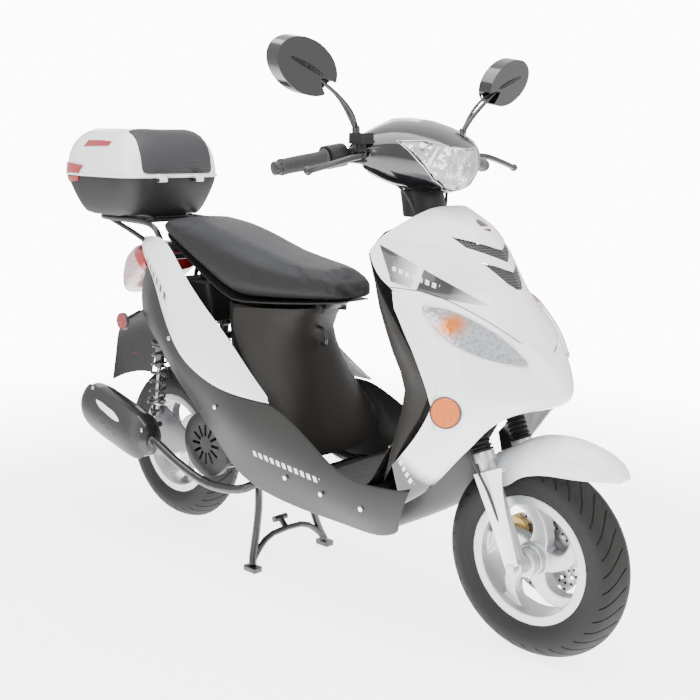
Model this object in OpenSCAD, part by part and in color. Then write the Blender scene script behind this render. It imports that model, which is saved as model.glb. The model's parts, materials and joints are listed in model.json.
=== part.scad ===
// Moped scooter with a top case, standing on its centre stand.
// X points forwards, Y to the rider's left and Z up, in millimetres.
// The origin lies on the ground, under the middle of the overall box.

/* [Wheels] */
// Distance between the two axles
wheelbase = 1180; // [1120:5:1260]
// Outer radius of both tyres
tyre_r = 216; // [206:1:222]
// Width of both tyres
tyre_w = 92; // [84:1:98]
// Radius of the rim flanges
rim_r = 141; // [138:1:143]
// Width of the cast rims over their flanges
rim_w = 70; // [62:1:74]
// Number of spokes in each cast rim
spokes = 5; // [3:1:7]
// Height of the rear tyre above the ground on the stand
rear_lift = 10; // [4:1:16]
// Radius of the front axle
axle_r = 6; // [5:0.5:7]
// Radius of the front brake disc
disc_r = 92; // [84:1:96]

/* [Steering and fork] */
// Rake of the steering axis from the vertical, in degrees
rake = 24; // [22:0.5:26]
// Distance of the front axle ahead of the steering axis
fork_offset = 30; // [26:1:34]
// Half the distance between the two fork legs
leg_y = 70; // [68:1:74]
// Radius of the fork's upper tubes
stanchion_r = 13.5; // [12:0.5:14]
// Radius of the fork's lower legs
slider_r = 18; // [17:0.5:19]
// Travel of the fork
fork_travel = 45; // [36:1:46]
// Radius of the steering stem
stem_r = 14; // [12:0.5:15]
// Radial clearance of every running fit
running = 0.05; // [0.02:0.01:0.1]
// Radius of the handlebar tube
bar_r = 11; // [10.5:0.5:11.5]
// Radius of both grips
grip_r = 17; // [16:0.5:18]
// Length of both grips
grip_l = 112; // [104:1:116]

/* [Bodywork] */
// Wall of the plastic panels
wall = 3; // [2.5:0.1:3.5]
// Half the width of the leg shield
shield_y = 190; // [180:1:200]
// Height of the floor under the mat
floor_z = 322; // [316:1:326]
// Half the width of the seat at the back
seat_y = 128; // [120:1:132]

/* [Top case] */
// Width of the top case
case_w = 345; // [320:1:380]
// Length of the top case
case_l = 335; // [310:1:340]
// Height of the tub of the top case
case_h = 104; // [90:1:110]
// Height of the lid of the top case
lid_h = 129; // [115:1:140]
// Wall of the top case
case_wall = 4; // [3:0.5:5]

/* [Hidden] */
$fn = 48;
eps = 0.01;
gap = 0.4;

// Places on the centre plane, measured from the middle of the wheelbase.
front_x = wheelbase / 2;
rear_x = -wheelbase / 2;
front_z = tyre_r;
rear_z = tyre_r + rear_lift;
case_front_x = -600;
case_back_x = case_front_x - case_l;
case_z = 858;
seam_z = case_z + case_h;
frame_shift = -((front_x + tyre_r) + case_back_x) / 2;

// ---- Curves and surfaces ----

function unit(v) = v / norm(v);
function mix(a, b, t) = a + (b - a) * t;
function flip(p) = [p[0], -p[1], p[2]];

// A smooth curve through points, with some steps between each two of them.
function bend(a, b, c, d, t) =
    0.5 * (2 * b + (c - a) * t + (2 * a - 5 * b + 4 * c - d) * t * t
    + (3 * b - a - 3 * c + d) * t * t * t);
function spline(points, steps) = [
    for (i = [0 : len(points) - 2]) for (k = [0 : steps - 1])
        bend(points[max(i - 1, 0)], points[i], points[i + 1],
             points[min(i + 2, len(points) - 1)], k / steps),
    points[len(points) - 1]
];

// A closed smooth outline through points.
function closed_spline(points, steps) = let (n = len(points)) [
    for (i = [0 : n - 1]) for (k = [0 : steps - 1])
        bend(points[(i + n - 1) % n], points[i], points[(i + 1) % n],
             points[(i + 2) % n], k / steps)
];

function transpose(grid) = [for (c = [0 : len(grid[0]) - 1]) [for (row = grid) row[c]]];

// A finer grid through the same points.
function smooth_grid(grid, along, across) =
    transpose([for (line = transpose([for (row = grid) spline(row, across)])) spline(line, along)]);

// A row on both sides of the centre plane, from a row that starts on it.
function whole_row(half) = concat([for (i = [len(half) - 1 : -1 : 1]) flip(half[i])], half);
function whole(grid) = [for (row = grid) whole_row(row)];

function grid_normal(grid, r, c) = let (
    rows = len(grid) - 1,
    cols = len(grid[0]) - 1,
    down = grid[min(r + 1, rows)][c] - grid[max(r - 1, 0)][c],
    over = grid[r][min(c + 1, cols)] - grid[r][max(c - 1, 0)]
) unit(cross(down, over));

// The same grid, moved along its own normals.
function offset_grid(grid, d) = [
    for (r = [0 : len(grid) - 1]) [
        for (c = [0 : len(grid[0]) - 1]) grid[r][c] + d * grid_normal(grid, r, c)
    ]
];

// Six times the signed volume inside some triangles: negative when they face inwards.
function signed(points, faces) = [for (f = faces) points[f[0]] * cross(points[f[1]], points[f[2]])]
    * [for (f = faces) 1];

// A closed solid of triangles, turned to face outwards.
module closed(points, faces) {
    outward = signed(points, faces) < 0;
    polyhedron(points, outward ? faces : [for (f = faces) [f[0], f[2], f[1]]], convexity = 6);
}

// A closed solid between two grids of the same size: outer lies on the side of the normals.
module between(outer, inner) {
    rows = len(outer);
    cols = len(outer[0]);
    n = rows * cols;
    points = concat([for (row = outer) each row], [for (row = inner) each row]);
    edge = concat(
        [for (c = [0 : cols - 1]) c],
        [for (r = [1 : rows - 1]) r * cols + cols - 1],
        [for (c = [cols - 2 : -1 : 0]) (rows - 1) * cols + c],
        [for (r = [rows - 2 : -1 : 1]) r * cols]
    );
    faces = concat(
        [for (r = [0 : rows - 2]) for (c = [0 : cols - 2]) let (a = r * cols + c)
            each [[a, a + cols + 1, a + cols], [a, a + 1, a + cols + 1]]],
        [for (r = [0 : rows - 2]) for (c = [0 : cols - 2]) let (a = n + r * cols + c)
            each [[a, a + cols, a + cols + 1], [a, a + cols + 1, a + 1]]],
        [for (i = [0 : len(edge) - 1]) let (a = edge[i], b = edge[(i + 1) % len(edge)])
            each [[a, n + b, b], [a, n + a, n + b]]]
    );
    closed(points, faces);
}

// A panel of even wall under a grid of its outer surface.
module panel(grid, t = wall) {
    between(grid, offset_grid(grid, -t));
}

// A closed solid through rings of equally many points.
module loft(rings) {
    m = len(rings);
    n = len(rings[0]);
    middle = function (ring) [for (k = [0 : 2]) [for (p = ring) p[k]] * [for (p = ring) 1]] / n;
    points = concat([for (ring = rings) each ring], [middle(rings[0]), middle(rings[m - 1])]);
    faces = concat(
        [for (r = [0 : m - 2]) for (i = [0 : n - 1])
            let (a = r * n + i, b = r * n + (i + 1) % n)
            each [[a, b, b + n], [a, b + n, a + n]]],
        [for (i = [0 : n - 1]) [m * n, (i + 1) % n, i]],
        [for (i = [0 : n - 1]) [m * n + 1, (m - 1) * n + i, (m - 1) * n + (i + 1) % n]]
    );
    closed(points, faces);
}

// A round tube or wire along a path. across is any direction the path never takes.
module sweep(path, r, sides = 10, across = [0, 0, 1]) {
    last = len(path) - 1;
    loft([for (i = [0 : last]) let (
        t = unit(path[min(i + 1, last)] - path[max(i - 1, 0)]),
        u = unit(cross(across, t)),
        v = cross(t, u)
    ) [for (k = [0 : sides - 1]) path[i] + r * (u * cos(k * 360 / sides) + v * sin(k * 360 / sides))]]);
}

// A true cylinder from one point to another.
module rod(a, b, r, r2 = -1) {
    d = b - a;
    translate(a)
        rotate([0, acos(d[2] / norm(d)), atan2(d[1], d[0])])
            cylinder(h = norm(d), r1 = r, r2 = r2 < 0 ? r : r2);
}

// A cylinder across the scooter, centred on a point.
module across(p, r, w) {
    translate(p) rotate([90, 0, 0]) cylinder(h = w, r = r, center = true);
}

// A block with round vertical edges, drawn from its low corner.
module block(low, size, r) {
    translate(low) linear_extrude(size[2]) translate([r, r])
        offset(r) square([size[0] - 2 * r, size[1] - 2 * r]);
}

module both_sides() {
    children();
    mirror([0, 1, 0]) children();
}

// ---- Steering axis ----

up_axis = [-sin(rake), 0, cos(rake)];
ahead = [cos(rake), 0, sin(rake)];
front_axle = [front_x, 0, front_z];
axis_foot = front_axle - fork_offset * ahead;
// A point on the steering axis, s above the axle's level.
function on_axis(s) = axis_foot + s * up_axis;
// A point beside a fork leg.
function on_leg(s, side) = front_axle + s * up_axis + [0, side * leg_y, 0];

slider_top = 236;
yoke_s = 348;
yoke_h = 26;
head_low = 392;
head_high = 560;
head_r = 24;
bar_s = 882;
bar_centre = on_axis(bar_s);

// Places children with Z along the steering axis, s above the axle's level.
module at_steering(s) {
    translate(on_axis(s)) rotate([0, -rake, 0]) children();
}

// ---- Wheels ----

hub_r = 34;
hub_w = 64;
barrel_r = 118;

module spoke_outline(inner, outer, width, lean) {
    steps = 10;
    left = [for (k = [0 : steps]) let (t = k / steps, r = mix(inner, outer, t), a = lean * t * t)
        [r * cos(a) - width * (0.5 + 0.35 * abs(t - 0.45)) * sin(a),
         r * sin(a) + width * (0.5 + 0.35 * abs(t - 0.45)) * cos(a)]];
    right = [for (k = [steps : -1 : 0]) let (t = k / steps, r = mix(inner, outer, t), a = lean * t * t)
        [r * cos(a) + width * (0.5 + 0.35 * abs(t - 0.45)) * sin(a),
         r * sin(a) - width * (0.5 + 0.35 * abs(t - 0.45)) * cos(a)]];
    polygon(concat(left, right));
}

// A cast rim about the Y axis, with its hub bored for an axle.
module cast_rim(bore, spoke_w, lean) {
    half = rim_w / 2;
    lip = 4;
    rotate([90, 0, 0]) difference() {
        union() {
            rotate_extrude($fn = 96) polygon([
                [barrel_r, -half], [rim_r, -half], [rim_r, -half + lip], [rim_r - 13, -half + 9],
                [barrel_r + 7, -half + 20], [barrel_r + 7, half - 20], [rim_r - 13, half - 9],
                [rim_r, half - lip], [rim_r, half], [barrel_r, half]
            ]);
            for (i = [0 : spokes - 1]) rotate(i * 360 / spokes)
                translate([0, 0, -spoke_w / 2]) linear_extrude(spoke_w)
                    spoke_outline(hub_r - 3, barrel_r + 2, 34, lean);
            translate([0, 0, -hub_w / 2]) cylinder(h = hub_w, r = hub_r);
        }
        translate([0, 0, -hub_w]) cylinder(h = 2 * hub_w, r = bore);
    }
}

// A tyre about the Y axis, hollow, seated on the rim's flanges.
module tyre() {
    w = tyre_w / 2;
    bead = rim_r - 13;
    half = rim_w / 2;
    rotate([90, 0, 0]) rotate_extrude($fn = 96) polygon([
        [bead + 0.5, -half + 9.5], [rim_r + 1, -half + 4], [rim_r + 1, -half - 1],
        [rim_r + 14, -w + 3], [rim_r + 30, -w], [tyre_r - 34, -w + 3], [tyre_r - 15, -w + 14],
        [tyre_r - 4, -w + 28], [tyre_r, -8], [tyre_r, 8], [tyre_r - 4, w - 28],
        [tyre_r - 15, w - 14], [tyre_r - 34, w - 3], [rim_r + 30, w], [rim_r + 14, w - 3],
        [rim_r + 1, half + 1], [rim_r + 1, half - 4], [bead + 0.5, half - 9.5],
        [bead + 8, half - 14], [rim_r + 18, w - 10], [tyre_r - 24, w - 16],
        [tyre_r - 12, 0], [tyre_r - 24, -w + 16], [rim_r + 18, -w + 10], [bead + 8, -half + 14]
    ]);
}

module front_rim() {
    color("silver") translate(front_axle) cast_rim(axle_r + running, 30, 38);
}

module front_tyre() {
    color("dimgray") translate(front_axle) tyre();
}

disc_y = hub_w / 2 + 2;
disc_t = 4;

module front_disc() {
    color("silver") translate(front_axle + [0, disc_y, 0]) rotate([90, 0, 0]) difference() {
        cylinder(h = disc_t, r = disc_r, center = true, $fn = 96);
        cylinder(h = 3 * disc_t, r = 20, center = true);
        for (i = [0 : 11]) rotate(i * 30) translate([disc_r - 14, 0, 0])
            cylinder(h = 3 * disc_t, r = 5, center = true, $fn = 24);
        for (i = [0 : 11]) rotate(i * 30 + 15) translate([disc_r - 30, 0, 0])
            cylinder(h = 3 * disc_t, r = 4, center = true, $fn = 24);
    }
}

rear_axle = [rear_x, 0, rear_z];
rear_axle_r = 8;

module rear_rim() {
    color("silver") translate(rear_axle) cast_rim(rear_axle_r + running, 30, -38);
}

module rear_tyre() {
    color("dimgray") translate(rear_axle) tyre();
}

// ---- Fork and steering ----

stanchion_foot = 130;
slider_bore = 88;

module steering_column() {
    color("dimgray") {
        difference() {
            at_steering(yoke_s) {
                translate([-24, -leg_y - 22, 0]) linear_extrude(yoke_h) offset(8) translate([8, 8])
                    square([48 + fork_offset - 16, 2 * leg_y + 44 - 16]);
            }
            for (side = [-1, 1])
                rod(on_leg(yoke_s - 10, side), on_leg(yoke_s + yoke_h + 10, side), stanchion_r);
        }
        rod(on_axis(yoke_s + yoke_h), on_axis(bar_s - 16), stem_r);
        rod(on_axis(bar_s - 16 - eps), on_axis(bar_s - 16 + 4), 20);
    }
    color("silver") for (side = [-1, 1])
        rod(on_leg(stanchion_foot, side), on_leg(yoke_s + yoke_h + 4, side), stanchion_r);
}

boot_r = 23;
boot_pitch = 8;
boot_low = slider_top + 9;
boot_high = yoke_s - gap;
boot_folds = floor((boot_high - boot_low - 8) / boot_pitch);

// A rubber gaiter around each upper tube, between the lower leg's cap and the yoke.
module fork_boots() {
    color("dimgray") for (side = [-1, 1])
        translate(on_leg(boot_low, side)) rotate([0, -rake, 0]) rotate_extrude()
            polygon(concat(
                [[stanchion_r + 0.6, 0], [boot_r + 1, 0], [boot_r + 1, 4]],
                [for (i = [0 : boot_folds - 1]) each [
                    [boot_r - 5, 4 + (i + 0.1) * boot_pitch], [boot_r, 4 + (i + 0.55) * boot_pitch]]],
                [[boot_r - 5, boot_high - boot_low - 4], [boot_r - 3, boot_high - boot_low],
                 [stanchion_r + 0.6, boot_high - boot_low]]
            ));
}

module fork_sliders() {
    color("silver") {
        for (side = [-1, 1]) {
            difference() {
                union() {
                    rod(on_leg(-16, side), on_leg(slider_top, side), slider_r);
                    rod(on_leg(slider_top - 12, side), on_leg(slider_top + 8, side), slider_r + 5);
                    across(on_leg(0, side), 20, 2 * slider_r - 4);
                }
                rod(on_leg(slider_bore - fork_travel, side), on_leg(slider_top + 40, side),
                    stanchion_r + running);
                across(on_leg(0, side), axle_r, 4 * slider_r);
            }
        }
        across(front_axle, axle_r, 2 * (leg_y + slider_r + 6));
        for (side = [-1, 1]) across(front_axle + [0, side * (leg_y + slider_r + 6), 0], 11, 12);
    }
    // Spacers that hold the hub between the legs.
    color("dimgray") difference() {
        for (side = [-1, 1])
            across(front_axle + [0, side * (hub_w / 2 + (leg_y - slider_r - hub_w / 2) / 2 + 1), 0],
                   side > 0 ? 17 : 30, leg_y - slider_r - hub_w / 2 - 1);
        across(front_axle, axle_r, 4 * leg_y);
    }
}

// ---- Front fender: a hood over the tyre, with a cover down each leg ----

// Each station: the crown on the centre plane, then the edge, as X and Z from the axle.
fender_line = [
    [[196, 214], [190, 210]], [[176, 240], [166, 212]], [[128, 262], [112, 208]],
    [[62, 272], [48, 204]], [[-6, 262], [-12, 184]], [[-56, 232], [-44, 158]],
    [[-104, 206], [-84, 140]]
];
fender_half = [18, 44, 60, 64, 58, 51, 51];

function fender_row(k) = let (
    crown = fender_line[k][0],
    edge = fender_line[k][1],
    half = fender_half[k]
) [for (a = [0, 22, 45, 68, 90]) front_axle
    + [mix(edge[0], crown[0], cos(a)), half * sin(a), mix(edge[1], crown[1], cos(a))]];

// Each station down the leg cover: distance above the axle, and its back and front edges.
cover_line = [[204, -24, 52], [166, -22, 38], [110, -18, 28], [52, -17, 22], [2, -16, 18]];
cover_y = leg_y + slider_r + 5;

module front_fender() {
    crown = smooth_grid([for (k = [0 : len(fender_line) - 1]) whole_row(fender_row(k))], 2, 2);
    cover = smooth_grid([for (row = cover_line) [for (i = [0 : 4])
        front_axle + row[0] * up_axis + mix(row[1], row[2], i / 4) * ahead
        + [0, cover_y + 7 * sin(45 * i), 0]]], 2, 1);
    color("white") {
        panel(crown);
        both_sides() panel([for (row = cover) [for (i = [len(row) - 1 : -1 : 0]) row[i]]]);
        both_sides() difference() {
            hull() {
                for (place = [[188, -6], [196, 36]]) {
                    foot = front_axle + place[0] * up_axis + place[1] * ahead;
                    rod(foot + [0, 58, 0], foot + [0, cover_y + 2, 0], 2);
                }
            }
            rod(on_leg(150, 1), on_leg(260, 1), slider_r);
        }
    }
}

// ---- Front brake and the cables down the fork ----

caliper_s = 62;
module brake_caliper() {
    place = front_axle + caliper_s * up_axis - 48 * ahead + [0, disc_y, 0];
    color("goldenrod") difference() {
        hull() {
            across(place, 30, 34);
            across(place - 22 * up_axis, 24, 32);
        }
        translate([front_axle[0], disc_y, front_axle[2]]) rotate([90, 0, 0])
            cylinder(h = disc_t + 3, r = disc_r + 4, center = true);
    }
    color("silver") rod(on_leg(caliper_s, 1) + [0, -slider_r + 3, 0] - 16 * ahead,
        place + [0, 18, 0] + 6 * ahead, 8);
}

hose_path = spline([
    [521, 62, 300], [506, 96, 350], [486, 110, 420], [462, 108, 490], [444, 106, 540],
    [426, 98, 585]
], 4);
speedo_path = spline([
    [584, -60, 232], [560, -94, 300], [528, -104, 372], [486, -110, 440], [462, -108, 490],
    [444, -106, 540], [426, -98, 585]
], 4);

// The flexible last stretch of the brake hose and the speedometer cable.
module fork_hoses() {
    color("dimgray") {
        sweep(hose_path, 3.4, 8, [1, 0, 0]);
        sweep(speedo_path, 3, 8, [1, 0, 0]);
    }
}

// ---- Handlebar ----

bar_bend = [210, 90, 1022];
bar_knee = [182, 226, 1037];
bar_end = [158, 342, 1017];
function grip_at(side, t) = let (p = mix(bar_knee, bar_end, t)) [p[0], side * p[1], p[2]];
bar_run = bar_end - bar_knee;
grip_start = 0.08;
grip_share = grip_l / norm(bar_run);

module handlebar() {
    color("dimgray") {
        sweep(spline([flip(bar_knee), [199, -165, 1036], flip(bar_bend), bar_centre,
            bar_bend, [199, 165, 1036], bar_knee], 3), bar_r - 0.4, 12);
        for (side = [-1, 1]) rod(grip_at(side, -0.02), grip_at(side, 1.06), bar_r);
        translate(bar_centre - [0, 0, 14]) rotate([0, -rake, 0])
            cylinder(h = 30, r = 21, center = true);
    }
    // The left grip and both end weights.
    color("black") difference() {
        rod(grip_at(1, grip_start), grip_at(1, grip_start + grip_share), grip_r);
        rod(grip_at(1, -0.1), grip_at(1, 1.2), bar_r);
    }
    color("silver") for (side = [-1, 1]) rod(grip_at(side, 1.02), grip_at(side, 1.12), grip_r - 3);
}

module throttle_grip() {
    color("black") difference() {
        union() {
            rod(grip_at(-1, grip_start), grip_at(-1, grip_start + grip_share), grip_r);
            rod(grip_at(-1, grip_start), grip_at(-1, grip_start + 0.05), grip_r + 3);
        }
        rod(grip_at(-1, -0.1), grip_at(-1, 1.2), bar_r + running);
    }
}

pod_high = 0.04;

// Switch housings round the bar, the brake fluid tank and the lever brackets.
module switchgear() {
    for (side = [-1, 1]) {
        color("black") difference() {
            union() {
                hull() {
                    rod(grip_at(side, -0.3), grip_at(side, pod_high), 24);
                    rod(grip_at(side, -0.3) + [-8, 0, 2], grip_at(side, pod_high) + [-8, 0, 2], 22);
                }
                lever_bracket(side);
            }
            rod(grip_at(side, -0.7), grip_at(side, 0.2), bar_r);
            rod(button_at(side) + [-20, 0, 0], button_at(side) + [3 + button_travel + gap, 0, 0],
                button_r + gap);
            lever_slot(side);
            translate(switch_at + [-20, -9, -5.5]) cube([20 + 3 + gap, 18, 11]);
        }
    }
    color("silver") for (side = [-1, 1]) translate([pivot[0], side * pivot[1], pivot[2]])
        cylinder(h = 28, r = pin_r, center = true);
    color("dimgray") {
        block([pivot[0] - 36, -pivot[1] - 6, 1066], [44, 36, 22], 6);
        rod([pivot[0] - 14, -pivot[1] + 12, 1050], [pivot[0] - 14, -pivot[1] + 12, 1067], 12);
    }
}

pivot = [240, 188, 1042];
pin_r = 3;
lever_t = 9;
blade_r = 6.5;

module lever_bracket(side) {
    at = [pivot[0], side * pivot[1], pivot[2]];
    hull() {
        translate(at + [0, 0, -13]) cylinder(h = 26, r = 11);
        translate([206, side * 178, pivot[2] - 16]) cylinder(h = 30, r = 13);
    }
}

module lever_slot(side) {
    at = [pivot[0], side * pivot[1], pivot[2]];
    half = blade_r + 1;
    translate(at + [0, 0, -half]) cylinder(h = 2 * half, r = 17);
    translate(at + [0, side > 0 ? 0 : -60, -half]) cube([40, 60, 2 * half]);
}

// A brake lever that lies ahead of its grip and ends in a ball.
module brake_lever(side) {
    at = [pivot[0], side * pivot[1], pivot[2]];
    path = [for (p = spline([[242, 190, 1042], [256, 212, 1041], [258, 244, 1036], [254, 300, 1024],
        [246, 350, 1013]], 3)) [p[0], side * p[1], p[2]]];
    color("dimgray") {
        difference() {
            translate(at + [0, 0, -lever_t / 2]) cylinder(h = lever_t, r = 10);
            translate(at + [0, 0, -lever_t]) cylinder(h = 2 * lever_t, r = pin_r + running);
        }
        sweep([for (i = [1 : len(path) - 1]) path[i]], blade_r, 10);
        translate(path[len(path) - 1]) sphere(9);
    }
}

module brake_lever_right() {
    brake_lever(-1);
}

module brake_lever_left() {
    brake_lever(1);
}

button_r = 7;
button_travel = 2;
function button_at(side) = grip_at(side, -0.12) + [-26, 0, 8];

module push_button(side, tint) {
    color(tint) rod(button_at(side) + [-6, 0, 0], button_at(side) + [3, 0, 0], button_r);
}

module starter_button() {
    push_button(-1, "gold");
}

module horn_button() {
    push_button(1, "firebrick");
}

switch_at = grip_at(1, -0.12) + [-27, 0, -14];

module indicator_switch() {
    color("dimgray") {
        rod(switch_at + [3, 0, 0], switch_at + [-6, 0, 0], 5);
        translate(switch_at + [-9, -8, -4]) cube([5, 16, 8]);
    }
}

// ---- Cowl, headlamp and the stem's cover ----

// Each ring of the cowl: its Y, then points in X and Z from its lower back corner, clockwise.
cowl_rings = [
    [0, [[182, 1000], [158, 1082], [206, 1124], [300, 1104], [366, 1062], [384, 1020],
         [346, 972], [256, 962]]],
    [52, [[182, 1002], [158, 1080], [205, 1121], [296, 1101], [356, 1062], [370, 1022],
         [334, 976], [254, 966]]],
    [100, [[182, 1008], [162, 1074], [204, 1108], [276, 1096], [320, 1066], [326, 1030],
         [296, 992], [246, 980]]],
    [142, [[186, 1020], [172, 1066], [204, 1090], [250, 1084], [276, 1064], [276, 1040],
         [256, 1016], [226, 1008]]],
    [172, [[192, 1034], [186, 1058], [206, 1072], [228, 1068], [238, 1056], [236, 1042],
         [226, 1032], [208, 1028]]]
];

function cowl_ring(k, side, inset) = let (
    flat = closed_spline(cowl_rings[k][1], 2),
    n = len(flat)
) [for (i = [0 : n - 1]) let (
    d = flat[(i + 1) % n] - flat[(i + n - 1) % n],
    out = [-d[1], d[0]] / norm(d)
) [flat[i][0] - inset * out[0], side * (cowl_rings[k][0] - inset), flat[i][1] - inset * out[1]]];

module cowl_body(inset) {
    last = len(cowl_rings) - 1;
    loft(concat([for (k = [last : -1 : 1]) cowl_ring(k, -1, inset)],
        [[for (p = cowl_ring(0, 1, inset)) [p[0], 0, p[2]]]],
        [for (k = [1 : last]) cowl_ring(k, 1, inset)]));
}

// The headlamp's outline from the front: half of it, in Y and Z.
lamp_half = [[0, 968], [34, 974], [70, 996], [104, 1034], [128, 1072], [84, 1074], [40, 1062], [0, 1058]];
lamp_outline = concat(lamp_half, [for (i = [len(lamp_half) - 2 : -1 : 1]) [-lamp_half[i][0], lamp_half[i][1]]]);
lamp_back = 252;

module lamp_window(extra) {
    translate([lamp_back, 0, 0]) rotate([90, 0, 90]) linear_extrude(200) offset(delta = extra)
        polygon(lamp_outline);
}

module headlamp_cowl() {
    color("black") difference() {
        cowl_body(0);
        cowl_body(wall);
        lamp_window(0);
        // The way in for the stem, and for the bar at both ends.
        translate([120, -46, 940]) cube([190, 92, 60]);
        sweep([[206, -230, 1040], [203, -150, 1034], [203, -120, 1030]], 26, 12);
        sweep([[206, 230, 1040], [203, 150, 1034], [203, 120, 1030]], 26, 12);
        dial_window(0.4);
    }
}

module headlamp() {
    color("lightblue") difference() {
        intersection() {
            cowl_body(0);
            lamp_window(-gap);
        }
        intersection() {
            cowl_body(wall);
            translate([-1, 0, 0]) lamp_window(-gap - 4);
        }
    }
}

dial_at = [176, 0, 1100];
dial_tilt = -38;

module dial_window(extra) {
    translate(dial_at) rotate([0, dial_tilt, 0]) linear_extrude(60, center = true) scale([0.56, 1])
        circle(78 + extra, $fn = 40);
}

module instrument_panel() {
    color("dimgray") intersection() {
        dial_window(0);
        difference() {
            cowl_body(0.6);
            cowl_body(14);
        }
    }
}

// A hollow neck round the stem, under the cowl.
module stem_cover() {
    ring = function (p, a, b) [for (k = [0 : 15]) p + [a * cos(k * 22.5), b * sin(k * 22.5), 0]];
    color("black") difference() {
        loft([ring([262, 0, 912], 44, 62), ring([254, 0, 940], 42, 58), ring([248, 0, 968], 42, 58)]);
        loft([ring([262, 0, 905], 40, 58), ring([254, 0, 940], 38, 54), ring([248, 0, 975], 38, 54)]);
    }
}

// ---- Mirrors ----

mirror_foot = [216, 178, 1058];
mirror_ball = [222, 330, 1202];

module mirror_stem(side) {
    path = [for (p = spline([mirror_foot, mirror_foot + [0, 4, 34], [222, 214, 1128], [224, 262, 1168],
        [222, 302, 1192]], 3)) [p[0], side * p[1], p[2]]];
    sweep(path, 6, 8, [1, 0, 0]);
}

ball_r = 8;

// An oval shell, glass towards the rider, turned up at its outer end.
module mirror_head(side) {
    at = [mirror_ball[0] - 6, side * (mirror_ball[1] + 8), mirror_ball[2] + 12];
    ball = [mirror_ball[0], side * (mirror_ball[1] - 26), mirror_ball[2] - 9];
    color("black") difference() {
        translate(at) rotate([side * 20, 0, 0]) rotate([0, -80, 0])
            linear_extrude(34, center = true) oval_mirror();
        translate(at + [-12, 0, 0]) rotate([side * 20, 0, 0]) rotate([0, -80, 0])
            translate([0, 0, 8]) linear_extrude(30, center = true) offset(delta = -3) oval_mirror();
        translate(ball) sphere(ball_r + gap);
        rod(ball, ball + [-2, side * -52, -34], ball_r + gap, 26);
    }
    color("lightgray") translate(at + [-8, 0, 0]) rotate([side * 20, 0, 0]) rotate([0, -80, 0])
        linear_extrude(3, center = true) offset(delta = -2) oval_mirror();
}

module oval_mirror() {
    scale([1, 1.62]) circle(51, $fn = 36);
}
module mirror_stems() {
    color("black") for (side = [-1, 1]) {
        mirror_stem(side);
        translate([mirror_ball[0], side * (mirror_ball[1] - 26), mirror_ball[2] - 9]) sphere(ball_r);
    }
}

module mirror_right() {
    mirror_head(-1);
}

module mirror_left() {
    mirror_head(1);
}

// ---- Cables from the handlebar down into the body ----

cable_runs = [
    [[206, -128, 1030], [236, -104, 1000], [262, -70, 960], [280, -46, 900], [300, -42, 840],
     [330, -44, 760], [372, -62, 670], [404, -86, 616], [424, -97, 590]],
    [[206, 128, 1030], [236, 104, 1000], [262, 70, 960], [280, 46, 900], [300, 42, 840],
     [330, 44, 760], [372, 62, 670], [404, 86, 616], [424, 97, 590]]
];

module control_cables() {
    color("dimgray") for (run = cable_runs) sweep(spline(run, 3), 3.4, 8, [0, 1, 0]);
}

// ---- Front panels ----

// Half of the leg shield from the nose to the tip of a leg. Each station runs from the
// edge over the wheel, across the outer face, to the seam or the rear edge.
shield_line = [
    [[612, 0, 546], [640, 0, 560], [640, 0, 596], [602, 0, 652]],
    [[604, 42, 546], [626, 44, 566], [620, 44, 606], [584, 46, 668]],
    [[588, 74, 543], [602, 80, 568], [588, 86, 622], [552, 88, 690]],
    [[564, 98, 532], [572, 112, 564], [552, 122, 628], [504, 124, 714]],
    [[540, 112, 512], [544, 134, 552], [520, 150, 630], [440, 158, 744]],
    [[520, 120, 490], [518, 152, 536], [488, 176, 620], [334, 190, 772]],
    [[500, 126, 464], [494, 160, 506], [452, 186, 570], [366, 190, 692]],
    [[476, 134, 436], [470, 164, 462], [450, 184, 510], [442, 190, 612]],
    [[446, 146, 396], [446, 166, 410], [440, 182, 450], [446, 190, 548]],
    [[412, 160, 356], [412, 172, 366], [408, 184, 396], [402, 190, 470]],
    [[366, 172, 322], [366, 180, 328], [362, 187, 346], [346, 190, 404]]
];
shield_half = [for (row = shield_line) [for (p = row) [p[0], p[1] * shield_y / 190, p[2]]]];

// Half of the front cover, from its top edge down to the seam.
cover_rows = [
    [[334, 0, 940], [326, 62, 935], [304, 120, 910], [280, 162, 880], [268, 190, 850]],
    [[420, 0, 903], [406, 56, 897], [362, 118, 871], [310, 164, 844], [276, 190, 824]],
    [[470, 0, 852], [452, 54, 847], [400, 116, 828], [338, 164, 808], [296, 190, 798]],
    [[520, 0, 778], [502, 50, 774], [442, 114, 770], [374, 162, 772], [316, 190, 785]]
];
seam_gap = 0.8;
seam_row = [for (k = [0 : 5]) shield_half[k][3]];
cover_half = concat(
    [for (row = cover_rows) [for (p = spline(row, 5)) [p[0], p[1] * shield_y / 190, p[2]]]],
    [spline([for (p = seam_row) p + [-0.3, 0, seam_gap]], 4)]
);

module leg_shield() {
    rows = smooth_grid(concat([for (k = [len(shield_half) - 1 : -1 : 1]) [for (p = shield_half[k]) flip(p)]],
        shield_half), 2, 3);
    color("white") panel(transpose(rows));
}

module front_cover() {
    rows = smooth_grid(whole(cover_half), 3, 1);
    color("white") panel(rows);
}

// Half of the panel that faces the rider, from the top down.
inner_rows = [
    [[212, 0, 888], [222, 90, 880], [256, 170, 850], [262, 186, 842]],
    [[222, 0, 826], [232, 90, 820], [264, 172, 806], [278, 186, 796]],
    [[244, 0, 740], [252, 90, 738], [282, 172, 730], [318, 185, 734]],
    [[272, 0, 640], [276, 90, 640], [318, 168, 640], [390, 184, 640]],
    [[294, 0, 548], [298, 80, 548], [340, 150, 556], [430, 182, 566]],
    [[280, 0, 440], [284, 80, 440], [314, 150, 450], [376, 182, 470]],
    [[262, 0, 340], [264, 80, 340], [286, 150, 344], [330, 182, 392]]
];

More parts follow.
